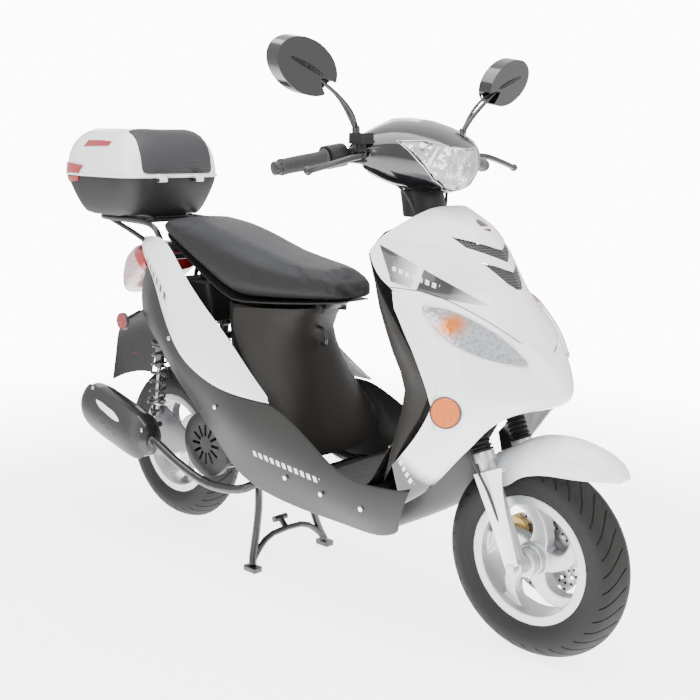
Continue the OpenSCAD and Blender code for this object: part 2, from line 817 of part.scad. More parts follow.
module inner_shield() {
    rows = smooth_grid(whole(inner_rows), 2, 2);
    color("dimgray") difference() {
        panel([for (row = rows) [for (i = [len(row) - 1 : -1 : 0]) row[i]]]);
        rod(key_at + [20, 0, 0], key_at - [50, 0, 0], key_r + gap);
    }
}

// ---- Floor ----

floor_back = 96;
floor_front = 262;

module floorboard() {
    color("black") {
        translate([0, 0, floor_z - 4]) linear_extrude(4) difference() {
            offset(12) polygon([[floor_back, -146], [floor_front + 30, -170], [floor_front + 30, 170],
                [floor_back, 146]]);
            translate([floor_front + 6, -84]) square([60, 168]);
        }
        both_sides() block([floor_back + 10, 40, 300], [150, 12, floor_z - 304], 3);
    }
}

mat_t = 3;
mat_rows = [
    [[104, 0], [104, 70], [104, 138]], [[160, 0], [160, 72], [162, 150]],
    [[226, 0], [226, 74], [232, 160]], [[250, 14], [252, 60], [262, 150]],
    [[262, 90], [264, 60], [282, 120]], [[284, 216], [286, 46], [294, 84]]
];
mat_heights = [0, 0, 2, 18, 74, 128];

module floor_mat() {
    grid = smooth_grid([for (k = [0 : 5]) let (x = mat_rows[k][0][0], half = mat_rows[k][2][1],
        z = floor_z + mat_t + 0.3 + mat_heights[k])
        [for (t = [-1, -0.6, 0, 0.6, 1]) [x - (k > 2 ? 6 : 0) + 8 * t * t, half * t, z]]], 2, 2);
    color("black") panel(grid, mat_t);
}

// ---- Side skirts, with the pan that joins them ----

// Each station: lower edge, middle and upper edge, as X, Y, Z.
skirt_line = [
    [[-662, 84, 590], [-640, 104, 660], [-606, 106, 744]],
    [[-582, 124, 566], [-566, 137, 630], [-546, 132, 698]],
    [[-517, 142, 534], [-500, 150, 570], [-482, 149, 610]],
    [[-455, 148, 472], [-430, 160, 498], [-400, 163, 524]],
    [[-354, 158, 402], [-322, 172, 442], [-290, 177, 482]],
    [[-256, 164, 330], [-216, 182, 396], [-196, 181, 464]],
    [[-181, 168, 269], [-130, 188, 360], [-120, 181, 460]],
    [[-82, 166, 236], [-40, 190, 330], [-40, 179, 460]],
    [[49, 164, 223], [60, 192, 310], [70, 182, 412]],
    [[177, 162, 221], [182, 192, 280], [188, 190, 350]],
    [[290, 166, 222], [296, 194, 280], [300, 192, 344]],
    [[352, 174, 250], [372, 192, 300], [392, 190, 356]]
];
pan_line = [[-70, 238], [49, 226], [177, 224], [286, 225], [318, 250], [326, 310], [330, 372]];

module side_skirts() {
    rows = smooth_grid(skirt_line, 2, 3);
    grid = [for (row = rows) [for (i = [len(row) - 1 : -1 : 0]) row[i]]];
    color("black") {
        both_sides() panel(grid);
        panel([for (p = spline(pan_line, 2)) [for (y = [150, 110, 50, 0, -50, -110, -150])
            [p[0], y, p[1] + 4 * pow(y / 150, 2)]]]);
    }
}

// ---- Rear panels ----

// Each station: lower edge, two points between, and upper edge.
rear_line = [
    [[-46, 180, 464], [-50, 180, 467], [-54, 178, 470], [-60, 174, 475]],
    [[-130, 182, 463], [-132, 182, 484], [-136, 176, 508], [-142, 164, 532]],
    [[-210, 182, 468], [-214, 182, 512], [-220, 174, 554], [-230, 154, 598]],
    [[-290, 178, 484], [-296, 180, 548], [-304, 168, 606], [-316, 146, 654]],
    [[-400, 164, 526], [-400, 170, 602], [-402, 160, 668], [-404, 138, 722]],
    [[-482, 148, 612], [-478, 154, 676], [-476, 148, 736], [-474, 130, 790]],
    [[-546, 130, 700], [-544, 136, 740], [-544, 130, 776], [-546, 110, 812]],
    [[-612, 106, 746], [-616, 110, 768], [-620, 104, 788], [-624, 88, 806]],
    [[-676, 66, 764], [-678, 68, 778], [-680, 64, 790], [-682, 54, 800]]
];

module rear_panels() {
    rows = smooth_grid(rear_line, 2, 2);
    color("white") both_sides() panel([for (row = rows) [for (i = [len(row) - 1 : -1 : 0]) row[i]]]);
}

// ---- Seat tower, bucket and tank ----

tower_rows = [
    [[-30, 0, 676], [-34, 44, 676], [-66, 84, 674], [-150, 112, 670], [-240, 120, 662]],
    [[-66, 0, 612], [-70, 46, 612], [-100, 90, 612], [-170, 120, 610], [-226, 134, 606]],
    [[-44, 0, 536], [-48, 56, 536], [-80, 104, 536], [-130, 138, 534], [-156, 152, 530]],
    [[-6, 0, 446], [-10, 70, 446], [-34, 120, 446], [-60, 150, 448], [-76, 164, 454]],
    [[34, 0, 332], [30, 84, 332], [20, 132, 336], [4, 156, 352], [-10, 172, 392]]
];

module seat_tower() {
    rows = smooth_grid(whole(tower_rows), 2, 2);
    color("dimgray") {
        panel(rows);
        across(seat_hinge, hinge_pin_r, 2 * ear_y + 20);
        both_sides() translate([seat_hinge[0] - 16, ear_y + 1, seat_hinge[2] - 16]) cube([21, 8, 21]);
    }
}

bucket_back = -322 + 9 + 0.3;
bucket_l = 206;

module storage_bucket() {
    color("dimgray") difference() {
        hull() {
            block([bucket_back, -88, 654], [bucket_l, 176, 10], 30);
            block([bucket_back, -78, 500], [bucket_l - 20, 156, 10], 30);
        }
        hull() {
            block([bucket_back + wall, -88 + wall, 660], [bucket_l - 2 * wall, 176 - 2 * wall, 10], 28);
            block([bucket_back + wall, -78 + wall, 500 + wall],
                [bucket_l - 20 - 2 * wall, 156 - 2 * wall, 10], 28);
        }
    }
}

tank_y = 86;

module fuel_tank() {
    color("dimgray") {
        hull() {
            block([-560, -tank_y, 604], [190, 2 * tank_y, 30], 16);
            block([-550, -tank_y, 690], [170, 2 * tank_y, 12], 16);
        }
        translate([-470, 0, 700]) cylinder(h = 18, r = 30);
    }
}

// ---- Frame ----

rail_path = spline([[20, 66, 286], [-60, 78, 286], [-130, 88, 316], [-220, 102, 430],
    [-320, 112, 568], [-480, 100, 700], [-620, 68, 762]], 3);
spine_path = spline([[382, 0, 606], [350, 0, 520], [316, 0, 410], [284, 0, 318], [220, 0, 282],
    [120, 0, 276], [10, 0, 278]], 3);
swing_pin = [-225, 0, 262];
pin_y = 92;
swing_pin_r = 8;
shock_top = [-545, 110, 560];
shock_foot = [-575, 110, 335];
shock_pin_r = 5;

module main_frame() {
    color("dimgray") {
        difference() {
            rod(on_axis(head_low), on_axis(head_high), head_r);
            rod(on_axis(head_low - 20), on_axis(head_high + 20), stem_r + running);
        }
        difference() {
            sweep(spine_path, 20, 10, [0, 1, 0]);
            rod(on_axis(head_low - 20), on_axis(head_high + 20), head_r - 2);
        }
        both_sides() {
            sweep(rail_path, 13, 10, [0, 1, 0]);
            rod([-196, 94, 400], swing_pin + [0, 86, 0], 9);
            rod(shock_top + [20, -24, 70], shock_top + [0, -19, 0], 8);
            rod(shock_top + [0, -20, 0], shock_top + [0, 12, 0], shock_pin_r);
        }
        across(swing_pin, swing_pin_r, 2 * pin_y);
        across([8, 0, 284], 12, 150);
        across([-322, 0, 574], 9, 230);
        across([-590, 0, 752], 9, 150);
        // Brackets that carry the panels.
        both_sides() rod([350, 16, 642], [280.5, 16, 622.5], 5);
        rod([356, 0, 704], [519, 0, 772], 6);
        both_sides() rod([-150, 94, 348], [-60, 148, 447], 5);
        both_sides() rod([-40, 76, 286], [-40, 168, 262], 5);
        both_sides() rod([180, 0, 276], [180, 168, 262], 5);
    }
}

// ---- Rear carrier, lamp and mudguard ----

module rear_carrier() {
    color("black") {
        both_sides() {
            sweep(spline([[-560, 84, 742], [-566, 92, 800], [-590, 106, 842], [-700, 110, 849],
                [-820, 96, 849], [-880, 40, 849], [-884, 0, 849]], 3), 8, 8, [0.2, 1, 0]);
            sweep(spline([[-600, 76, 764], [-660, 84, 800], [-740, 92, 830], [-790, 94, 846]], 2), 7, 8,
                [0, 1, 0]);
        }
        across([-640, 0, 849], 7, 220);
        across([-760, 0, 849], 7, 216);
        translate([-660, 0, 0]) block([-40, -60, case_z - 2], [80, 120, 2], 8);
        translate([-770, 0, 0]) block([-40, -60, case_z - 2], [80, 120, 2], 8);
    }
}

lamp_rings = [
    [-636, 96, 706, 786], [-690, 96, 656, 790], [-744, 86, 636, 772], [-784, 62, 630, 716]
];

module tail_lamp() {
    color("firebrick") loft([for (ring = lamp_rings) let (low = ring[2], high = ring[3], mid = (low + high) / 2)
        [for (i = [0 : 19]) let (a = -i * 18) [ring[0], ring[1] * sign(cos(a)) * pow(abs(cos(a)), 0.6),
            mid + (high - low) / 2 * sign(sin(a)) * pow(abs(sin(a)), 0.7)]]]);
}

flap_line = [[-560, 628, 74], [-640, 618, 76], [-730, 592, 76], [-790, 548, 74], [-812, 470, 72], [-834, 388, 70]];

module rear_mudguard() {
    color("black") panel([for (p = spline([for (q = flap_line) [q[0], q[2], q[1]]], 2))
        [for (t = [1, 0.6, 0.2, -0.2, -0.6, -1]) [p[0], p[1] * t, p[2] - 12 * t * t]]]);
    color("black") both_sides() rod([-644, 66, 600], [-604, 72, 756], 6);
    color("black") rod([-694, -70, 592], [-714, -110, 568], 5);
}

module reflectors() {
    color("orange") both_sides() rod([471, 172, 539], [477, 187, 540], 33);
    color("red") rod([-714, -108, 566], [-714, -120, 566], 24);
    color("red") rod([-826, 0, 462], [-815, 0, 464], 20);
}

// The almond-shaped indicators, let into the leg shield.
indicator_line = [
    [[404, 175, 746], [405, 176, 742], [408, 178, 737]],
    [[450, 152, 742], [446, 168, 722], [442, 177, 702]],
    [[504, 122, 717], [498, 142, 692], [492, 158, 669]],
    [[553, 98, 684], [551, 106, 664], [548, 119, 646]],
    [[592, 74, 642], [592, 75, 639], [591, 76, 636]]
];

module front_indicators() {
    rows = smooth_grid(indicator_line, 2, 2);
    color("orange") both_sides() between(offset_grid(rows, 1.5), offset_grid(rows, -16));
}

screw_places = [
    [[140, 194, 290], [0, 1, 0]], [[262, 194, 286], [0, 1, 0]], [[20, 190, 300], [0, 1, 0]],
    [[-240, 182, 420], [0, 1, 0]], [[-450, 158, 560], [0, 1, 0]]
];

module body_screws() {
    color("silver") both_sides() for (screw = screw_places) {
        rod(screw[0] - 12 * screw[1], screw[0] + 1 * screw[1], 3);
        rod(screw[0] + 0.3 * screw[1], screw[0] + 3.5 * screw[1], 6);
    }
}

key_at = [262, -96, 770];
key_r = 4;

module ignition_key() {
    color("silver") {
        translate(key_at) rotate([0, -90, 0]) cylinder(h = 30, r = key_r);
        translate(key_at + [-48, 0, 0]) rotate([0, 90, 0]) translate([-2, -2, 0]) cube([4, 4, 20]);
    }
    color("black") translate(key_at + [-30, 0, 0]) rotate([0, -90, 0]) translate([-10, -2, 0])
        cube([20, 4, 22]);
}

// ---- Power unit ----

crank = [-320, 0, 300];
drive_y = 64;
case_t = 66;

shaft_r = 8;

module engine_case() {
    color("silver") difference() {
        union() {
            // Crankcase and the drive case that runs back to the axle.
            across(crank + [0, -77, 0], 74, 38);
            across(crank, 50, 130);
            hull() {
                across([crank[0], drive_y + case_t / 2, crank[2]], 78, case_t);
                across([rear_axle[0], drive_y + case_t / 2, rear_axle[2]], 62, case_t);
            }
            translate([-262, -58, 244]) cube([120, 116, 92]);
            across(swing_pin, 20, 120);
            hull() {
                across([-262, 0, 262], 20, 100);
                across(crank - [8, 0, 20], 38, 100);
            }
            for (side = [-1, 1]) hull() {
                across(stand_pin + [0, side * 66, 0], 14, 14);
                across([-262, side * 50, 250], 16, 14);
            }
        }
        across(swing_pin, swing_pin_r + running, 200);
        across(rear_axle, rear_axle_r, 300);
        translate([-280, -pin_y - 20, swing_pin[2] - 22]) cube([90, 28, 44]);
    }
    color("silver") {
        across(rear_axle + [0, 12, 0], rear_axle_r, 236);
        across(rear_axle + [0, drive_y - 16, 0], 26, 31);
        across(stand_pin, stand_pin_r, 190);
        rod([fan_at[0], -94, fan_at[2]], [fan_at[0], -130, fan_at[2]], shaft_r);
        rod([kick_at[0], kick_y - 4, kick_at[2]], [kick_at[0], kick_y + 25, kick_at[2]], shaft_r);
    }
    // The arm on the right, with the studs of both shock absorbers.
    color("dimgray") {
        translate([0, -88, 0]) rotate([90, 0, 0]) linear_extrude(8) polygon([
            [-356, 262], [-356, 320], [-470, 300], [-556, 350], [-590, 352], [-600, 330], [-620, 226],
            [-590, 200], [-480, 236]
        ]);
        rod(shock_stud(-1) + [0, 18, 0], shock_stud(-1) + [0, -14, 0], shock_pin_r);
        rod(shock_stud(1) + [0, -22, 0], shock_stud(1) + [0, 14, 0], shock_pin_r);
        hull() {
            across([-575, 88, 335], 12, 12);
            across([-586, 88, 270], 20, 12);
        }
        across(rear_axle + [0, -100, 0], 14, 8);
    }
    // Air box and its hose.
    color("black") {
        block([-520, 62, 336], [130, 56, 64], 12);
        rod([-396, 84, 380], [-330, 40, 366], 16);
    }
}

function shock_stud(side) = [shock_foot[0], side * shock_foot[1], shock_foot[2]];

fan_at = crank;

module fan_shroud() {
    color("black") difference() {
        translate(fan_at + [0, -122, 0]) rotate([90, 0, 0]) difference() {
            cylinder(h = 52, r = 84, center = true);
            translate([0, 0, -4]) cylinder(h = 52, r = 80, center = true);
            for (i = [0 : 11]) rotate(i * 30) translate([22, -3, 0]) cube([30, 7, 60]);
        }
        translate(fan_at + [20, -130, -100]) cube([80, 60, 60]);
    }
}

module cooling_fan() {
    color("dimgray") translate(fan_at + [0, -118, 0]) rotate([90, 0, 0]) difference() {
        union() {
            cylinder(h = 4, r = 54, center = true);
            cylinder(h = 22, r = 16, center = true);
            for (i = [0 : 15]) rotate(i * 22.5) translate([30, -1.2, 0]) cube([24, 2.4, 14]);
        }
        cylinder(h = 60, r = shaft_r + running, center = true);
    }
}

pipe_path = spline([[-166, -30, 262], [-150, -92, 244], [-176, -142, 216], [-236, -160, 206],
    [-310, -168, 210], [-400, -180, 244], [-470, -184, 276], [-520, -186, 290]], 3);
muffler_front = [-492, -186, 280];
muffler_back = [-760, -186, 346];
muffler_half = [54, 62];

function muffler_ring(t, share) = let (
    p = mix(muffler_front, muffler_back, t)
) [for (i = [0 : 19]) let (a = i * 18) p + share * [0, -muffler_half[0] * cos(a), muffler_half[1] * sin(a)]];

module exhaust() {
    color("dimgray") {
        sweep(pipe_path, 12, 10);
        loft([muffler_ring(0, 0.42), muffler_ring(0.04, 0.7), muffler_ring(0.14, 0.96),
            muffler_ring(0.3, 1), muffler_ring(0.8, 1), muffler_ring(0.94, 0.9), muffler_ring(1, 0.6)]);
        rod([-780, -176, 338], [-740, -176, 328], 10);
        rod([-560, -150, 300], [-560, -106, 300], 8);
    }
}

module muffler_guard() {
    stations = [[0.02, 0.5], [0.08, 0.86], [0.2, 1.04], [0.5, 1.06], [0.8, 1.05], [0.93, 0.95], [0.995, 0.68]];
    rows = [for (s = stations) let (p = mix(muffler_front, muffler_back, s[0]))
        [for (a = [-64, -40, -14, 14, 40, 64]) p + s[1] * [0, -(muffler_half[0] + 6) * cos(a),
            (muffler_half[1] + 6) * sin(a)]]];
    color("black") panel(smooth_grid([for (row = rows) [for (i = [len(row) - 1 : -1 : 0]) row[i]]], 2, 1), 2.5);
}

kick_at = [-330, 0, 268];
kick_y = drive_y + case_t;

module kick_lever() {
    color("black") {
        difference() {
            across(kick_at + [0, kick_y + 12.5, 0], 14, 22);
            across(kick_at + [0, kick_y, 0], shaft_r + running, 90);
        }
        sweep([kick_at + [-12, kick_y + 14, -2], kick_at + [-60, kick_y + 18, -12],
            kick_at + [-140, kick_y + 20, -22], kick_at + [-164, kick_y + 22, -26]], 7, 8);
        across(kick_at + [-168, kick_y + 36, -26], 9, 40);
    }
}

// ---- Shock absorbers ----

shock_axis = unit(shock_top - shock_foot);
function on_shock(s, side) = let (p = shock_foot + s * shock_axis) [p[0], side * p[1], p[2]];
shock_l = norm(shock_top - shock_foot);

module shock_upper() {
    color("dimgray") for (side = [-1, 1]) difference() {
        union() {
            across(on_shock(shock_l, side), 13, 20);
            rod(on_shock(shock_l - 100, side), on_shock(shock_l - 8, side), 13);
            rod(on_shock(shock_l - 34, side), on_shock(shock_l - 28, side), 25);
        }
        across(on_shock(shock_l, side), shock_pin_r + running, 60);
        rod(on_shock(0, side), on_shock(shock_l - 30, side), 6 + running);
    }
}

module shock_lower() {
    color("silver") for (side = [-1, 1]) difference() {
        union() {
            across(on_shock(0, side), 14, 20);
            rod(on_shock(8, side), on_shock(shock_l - 80, side), 6);
            rod(on_shock(24, side), on_shock(30, side), 25);
            rod(on_shock(8, side), on_shock(46, side), 12);
        }
        across(on_shock(0, side), shock_pin_r + 2.2, 60);
    }
}

spring_turns = 7;
spring_wire = 3.4;

// The outer shape of each coil spring: a sleeve with one wave for each turn.
module shock_springs() {
    low = 30.3;
    high = shock_l - 34.3;
    pitch = (high - low) / spring_turns;
    color("black") for (side = [-1, 1]) translate(on_shock(low, side))
        rotate([0, atan2(shock_axis[0], shock_axis[2]), 0]) rotate_extrude() polygon(concat(
            [[16, 0]],
            [for (i = [0 : spring_turns - 1]) each [[20 - spring_wire, i * pitch],
                [20 + spring_wire, (i + 0.5) * pitch]]],
            [[20 - spring_wire, high - low], [16, high - low]]
        ));
}

// ---- Centre stand ----

stand_pin = [-186, 0, 208];
stand_pin_r = 7;
foot_x = -160;
foot_y = 130;

module centre_stand() {
    color("black") {
        both_sides() {
            difference() {
                across(stand_pin + [0, 84, 0], 12, 18);
                across(stand_pin, stand_pin_r + running, 300);
            }
            sweep(spline([stand_pin + [0, 86, -8], [-180, 92, 150], [-176, 104, 90], [-168, 122, 36],
                [foot_x, foot_y, 14]], 2), 10, 8, [0, 1, 0]);
            translate([foot_x - 22, foot_y - 14, 0]) block([0, 0, 0], [44, 28, 12], 4);
        }
        sweep(spline([[foot_x - 4, -124, 24], [-168, -96, 52], [-172, -50, 74], [-172, 50, 74],
            [-168, 96, 52], [foot_x - 4, 124, 24]], 2), 8, 8, [1, 0, 0]);
        rod([-172, 0, 74], [-196, 0, 96], 8);
        across([-198, 0, 98], 8, 44);
    }
}

// ---- Seat ----

// Each station: X, half width, height of the underside, and height of the top.
seat_line = [
    [68, 40, 708, 722], [52, 66, 702, 750], [0, 92, 697, 768], [-80, 110, 690, 780],
    [-170, 120, 683, 797], [-258, 126, 682, 820], [-340, 127, 716, 841], [-430, 124, 764, 858],
    [-510, 116, 806, 866], [-552, 96, 820, 858], [-566, 70, 830, 846]
];

function seat_ring(s, grow) = [for (i = [0 : 23]) let (a = i * 15, w = s[1] * seat_y / 128,
    mid = (s[2] + s[3]) / 2, half = (s[3] - s[2]) / 2)
    [s[0], (w + grow) * sign(cos(a)) * pow(abs(cos(a)), 0.55),
     mid + (half + grow) * sign(sin(a)) * pow(abs(sin(a)), 0.72)]];

seat_stations = spline(seat_line, 2);

module seat_cushion() {
    color("dimgray") loft([for (s = seat_stations) seat_ring(s, 0)]);
}

module seat_base() {
    color("black") {
        between(
            [for (s = seat_stations) [for (t = [1, 0.5, 0, -0.5, -1]) [s[0], t * (s[1] * seat_y / 128 - 16), s[2] - 0.5]]],
            [for (s = seat_stations) [for (t = [1, 0.5, 0, -0.5, -1]) [s[0], t * (s[1] * seat_y / 128 - 16), s[2] - 4]]]
        );
        difference() {
            hull() {
                across(seat_hinge, 8, 2 * ear_y);
                translate([seat_hinge[0] + 2, -ear_y, 694]) cube([26, 2 * ear_y, 2]);
            }
            across(seat_hinge, hinge_pin_r + running, 3 * ear_y);
        }
    }
}

seat_hinge = [-16, 0, 682];
hinge_pin_r = 4;
ear_y = 34;

// ---- Top case ----

case_mid = [(case_front_x + case_back_x) / 2, 0, 0];

function case_ring(z, grow) = [for (i = [0 : 31]) let (a = i * 11.25,
    half_l = case_l / 2 + grow, half_w = case_w / 2 + grow)
    [case_mid[0] + half_l * sign(cos(a)) * pow(abs(cos(a)), 0.42),
     half_w * sign(sin(a)) * pow(abs(sin(a)), 0.42), z]];

module top_case_base() {
    color("black") difference() {
        loft([case_ring(case_z, -48), case_ring(case_z + 14, -32), case_ring(seam_z - 20, -5),
            case_ring(seam_z - gap, -2)]);
        loft([case_ring(case_z + case_wall, -52), case_ring(case_z + 16, -36),
            case_ring(seam_z - 20, -5 - case_wall), case_ring(seam_z + 4, -2 - case_wall)]);
        rod(lock_at - [20, 0, 0], lock_at + [20, 0, 0], lock_r + gap);
    }
    color("black") both_sides() {
        across([lid_hinge[0], lug_y, lid_hinge[2]], lug_pin_r, 36);
        for (y = [lug_y - 18, lug_y + 13]) translate([case_front_x - 10, y, lid_hinge[2] - 6])
            cube([21, 5, 9]);
    }
}

lid_hinge = [case_front_x + 7, 0, seam_z - 4];
lug_y = 62;
lug_pin_r = 3;

module top_case_lid() {
    top = seam_z + lid_h;
    color("white") difference() {
        loft([case_ring(seam_z + gap, 0), case_ring(seam_z + 60, -4), case_ring(top - 30, -22),
            case_ring(top - 8, -48), case_ring(top, -74)]);
        loft([case_ring(seam_z - 1, -case_wall), case_ring(seam_z + 60, -4 - case_wall),
            case_ring(top - 32, -22 - case_wall), case_ring(top - 6 - case_wall, -54)]);
    }
    color("white") both_sides() difference() {
        union() {
            across([lid_hinge[0], lug_y, lid_hinge[2]], 7, 24);
            translate([case_front_x - 3, lug_y - 12, seam_z + 0.4]) cube([13, 24, 14]);
        }
        across([lid_hinge[0], lug_y, lid_hinge[2]], lug_pin_r + running, 60);
    }
}

lock_at = [case_back_x + 4, 0, seam_z - 16];
lock_r = 8;

module top_case_lock() {
    color("red") rod(lock_at - [5, 0, 0], lock_at + [12, 0, 0], lock_r);
}

// ---- Everything in its place ----

module placed() {
    translate([frame_shift, 0, 0]) children();
}

placed() main_frame();
placed() leg_shield();
placed() front_cover();
placed() inner_shield();
placed() floorboard();
placed() floor_mat();
placed() side_skirts();
placed() seat_tower();
placed() rear_panels();
placed() storage_bucket();
placed() fuel_tank();
placed() rear_carrier();
placed() top_case_base();
placed() tail_lamp();
placed() rear_mudguard();
placed() reflectors();
placed() front_indicators();
placed() body_screws();
placed() ignition_key();
placed() steering_column();
placed() fork_boots();
placed() handlebar();
placed() headlamp_cowl();
placed() headlamp();
placed() stem_cover();
placed() instrument_panel();
placed() switchgear();
placed() mirror_stems();
placed() control_cables();
placed() throttle_grip();
placed() brake_lever_right();
placed() brake_lever_left();
placed() starter_button();
placed() horn_button();
placed() indicator_switch();
placed() mirror_right();
placed() mirror_left();
placed() fork_sliders();
placed() front_fender();
placed() brake_caliper();
placed() fork_hoses();
placed() front_rim();
placed() front_tyre();
placed() front_disc();
placed() engine_case();
placed() exhaust();
placed() muffler_guard();
placed() fan_shroud();
placed() cooling_fan();
placed() kick_lever();
placed() rear_rim();
placed() rear_tyre();
placed() shock_upper();
placed() shock_lower();
placed() shock_springs();
placed() centre_stand();
placed() seat_base();
placed() seat_cushion();
placed() top_case_lid();
placed() top_case_lock();
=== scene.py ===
import json
import math

import bpy
from mathutils import Matrix, Vector


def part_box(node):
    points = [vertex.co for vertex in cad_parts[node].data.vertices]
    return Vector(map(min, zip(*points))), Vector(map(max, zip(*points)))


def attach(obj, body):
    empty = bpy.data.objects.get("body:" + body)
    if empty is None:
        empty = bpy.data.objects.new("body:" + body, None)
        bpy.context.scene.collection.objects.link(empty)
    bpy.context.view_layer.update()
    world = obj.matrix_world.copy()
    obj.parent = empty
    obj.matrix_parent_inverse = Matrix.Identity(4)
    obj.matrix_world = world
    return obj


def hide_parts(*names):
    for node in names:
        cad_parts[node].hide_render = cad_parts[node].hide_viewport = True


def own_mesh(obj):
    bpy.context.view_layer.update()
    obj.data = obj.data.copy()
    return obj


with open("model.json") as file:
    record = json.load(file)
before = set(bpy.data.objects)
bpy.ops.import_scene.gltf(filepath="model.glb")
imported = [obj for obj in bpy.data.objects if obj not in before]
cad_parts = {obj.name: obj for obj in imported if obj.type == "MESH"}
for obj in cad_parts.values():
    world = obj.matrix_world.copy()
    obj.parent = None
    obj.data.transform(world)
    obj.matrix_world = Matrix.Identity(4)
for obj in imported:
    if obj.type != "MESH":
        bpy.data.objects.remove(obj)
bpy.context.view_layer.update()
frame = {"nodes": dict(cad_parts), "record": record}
nodes = frame["nodes"]

# The wheels' middles come from the frame, and every other place is given from the middle
# of the wheelbase, in mm.
wheelbase = 1180
tyreLow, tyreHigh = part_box("front_tyre")
shift = (tyreLow.x + tyreHigh.x) * 500 - wheelbase / 2
rake = math.radians(24)
upFork = Vector((-math.sin(rake), 0, math.cos(rake)))
frontAxle = Vector((590, 0, 216))
rearAxle = Vector((-590, 0, 226))


def place(p):
    return Vector(((p[0] + shift) / 1000, p[1] / 1000, p[2] / 1000))


def onLeg(s, side):
    return frontAxle + upFork * s + Vector((0, side * 70, 0))


# ---- Shaders ----

class Wire:
    # a shader socket that adds, takes away, multiplies and divides like a number
    def __init__(self, finish, socket):
        self.finish = finish
        self.socket = socket

    def math(self, operation, other=None, swap=False, clamp=False):
        values = [self] if other is None else [other, self] if swap else [self, other]
        return self.finish.node("Math", {"operation": operation, "use_clamp": clamp},
                                dict(enumerate(values)))

    def __add__(self, other):
        return self.math("ADD", other)

    def __radd__(self, other):
        return self.math("ADD", other)

    def __sub__(self, other):
        return self.math("SUBTRACT", other)

    def __rsub__(self, other):
        return self.math("SUBTRACT", other, swap=True)

    def __mul__(self, other):
        return self.math("MULTIPLY", other)

    def __rmul__(self, other):
        return self.math("MULTIPLY", other)

    def __truediv__(self, other):
        return self.math("DIVIDE", other)

    def clamped(self):
        return self.math("ADD", 0.0, clamp=True)

    def above(self, edge, soft=0.0004):
        # 0 below an edge and 1 above it, with a soft step between
        return ((self - (edge - soft)) / (2 * soft)).clamped()

    def below(self, edge, soft=0.0004):
        return 1 - self.above(edge, soft)


class Finish:
    def __init__(self, name):
        self.material = bpy.data.materials.new(name)
        self.material.use_nodes = True
        self.tree = self.material.node_tree
        self.tree.nodes.clear()
        self.places = self.node("TexCoord", out="Object")
        split = self.node("SeparateXYZ", sockets={0: self.places})
        self.x, self.y, self.z = [Wire(self, split.socket.node.outputs[k]) for k in range(3)]

    def node(self, kind, settings=None, sockets=None, out=0):
        made = self.tree.nodes.new("ShaderNode" + kind)
        for key, value in (settings or {}).items():
            if key == "stops":
                for spot, (at, colour) in enumerate(value):
                    stop = made.color_ramp.elements[spot] if spot < 2 else made.color_ramp.elements.new(at)
                    stop.position = at
                    stop.color = (*colour, 1)
            else:
                setattr(made, key, value)
        for key, value in (sockets or {}).items():
            self.feed(made.inputs[key], value)
        return Wire(self, made.outputs[out])

    def feed(self, socket, value):
        if isinstance(value, Wire):
            self.tree.links.new(value.socket, socket)
        elif isinstance(value, (tuple, list)) and len(value) == 3 and socket.type == "RGBA":
            socket.default_value = (*value, 1)
        else:
            socket.default_value = value

    def mixed(self, factor, a, b):
        # colours a and b: a where the factor is 0, b where it is 1
        return self.node("Mix", {"data_type": "RGBA"}, {0: factor, 6: a, 7: b}, out=2)

    def noise(self, scale, detail=3.0, rough=0.5, stretch=None):
        where = self.places
        if stretch:
            where = self.node("Mapping", None, {"Vector": where, "Scale": stretch})
        return self.node("TexNoise", None, {"Vector": where, "Scale": scale, "Detail": detail,
                                            "Roughness": rough}, out="Fac")

    def cells(self, scale, feature="F1", out="Distance", where=None):
        return self.node("TexVoronoi", {"feature": feature},
                         {"Vector": where or self.places, "Scale": scale}, out=out)

    def bump(self, height, depth, strength=0.5, under=None):
        sockets = {"Height": height, "Distance": depth, "Strength": strength}
        if under:
            sockets["Normal"] = under
        return self.node("Bump", None, sockets, out="Normal")

    def close(self, colour, rough, normal=None, **sockets):
        values = {"Base Color": colour, "Roughness": rough, **sockets}
        if normal:
            values["Normal"] = normal
        shader = self.node("BsdfPrincipled", None, values)
        output = self.tree.nodes.new("ShaderNodeOutputMaterial")
        self.tree.links.new(shader.socket, output.inputs[0])
        return self.material


def plain(name, colour, rough, metal=0.0, coat=0.0, grain=900.0, depth=0.00006, spread=0.06, **sockets):
    # an even finish: slow changes of shade and gloss, and a fine grain
    f = Finish(name)
    slow = f.noise(9.0, 4.0)
    fine = f.noise(grain, 2.0, 0.6)
    darker = tuple(c * (1 - spread * 1.6) for c in colour)
    shade = f.mixed(slow, darker, colour)
    gloss = rough + (slow - 0.5) * (rough * 0.35) + (fine - 0.5) * (rough * 0.2)
    return f.close(shade, gloss, f.bump(fine, depth, 0.6), Metallic=metal,
                   **{"Coat Weight": coat, "Coat Roughness": 0.04}, **sockets)


whiteLook = dict(colour=(0.90, 0.915, 0.94), coat=1.0, rough=0.32)


def whitePaint(name, decal=None):
    # gloss white with faint orange peel, and a printed decal where a piece has one
    f = Finish(name)
    slow = f.noise(4.0, 2.0)
    peel = f.noise(260.0, 1.0)
    colour = f.mixed(slow, tuple(c * 0.965 for c in whiteLook["colour"]), whiteLook["colour"])
    if decal:
        mask, ink = decal(f)
        colour = f.mixed(mask, colour, ink)
    gloss = whiteLook["rough"] + (slow - 0.5) * 0.06
    return f.close(colour, gloss, f.bump(peel, 0.00003, 0.25), **{"Coat Weight": whiteLook["coat"],
                   "Coat Roughness": 0.03, "IOR": 1.5})


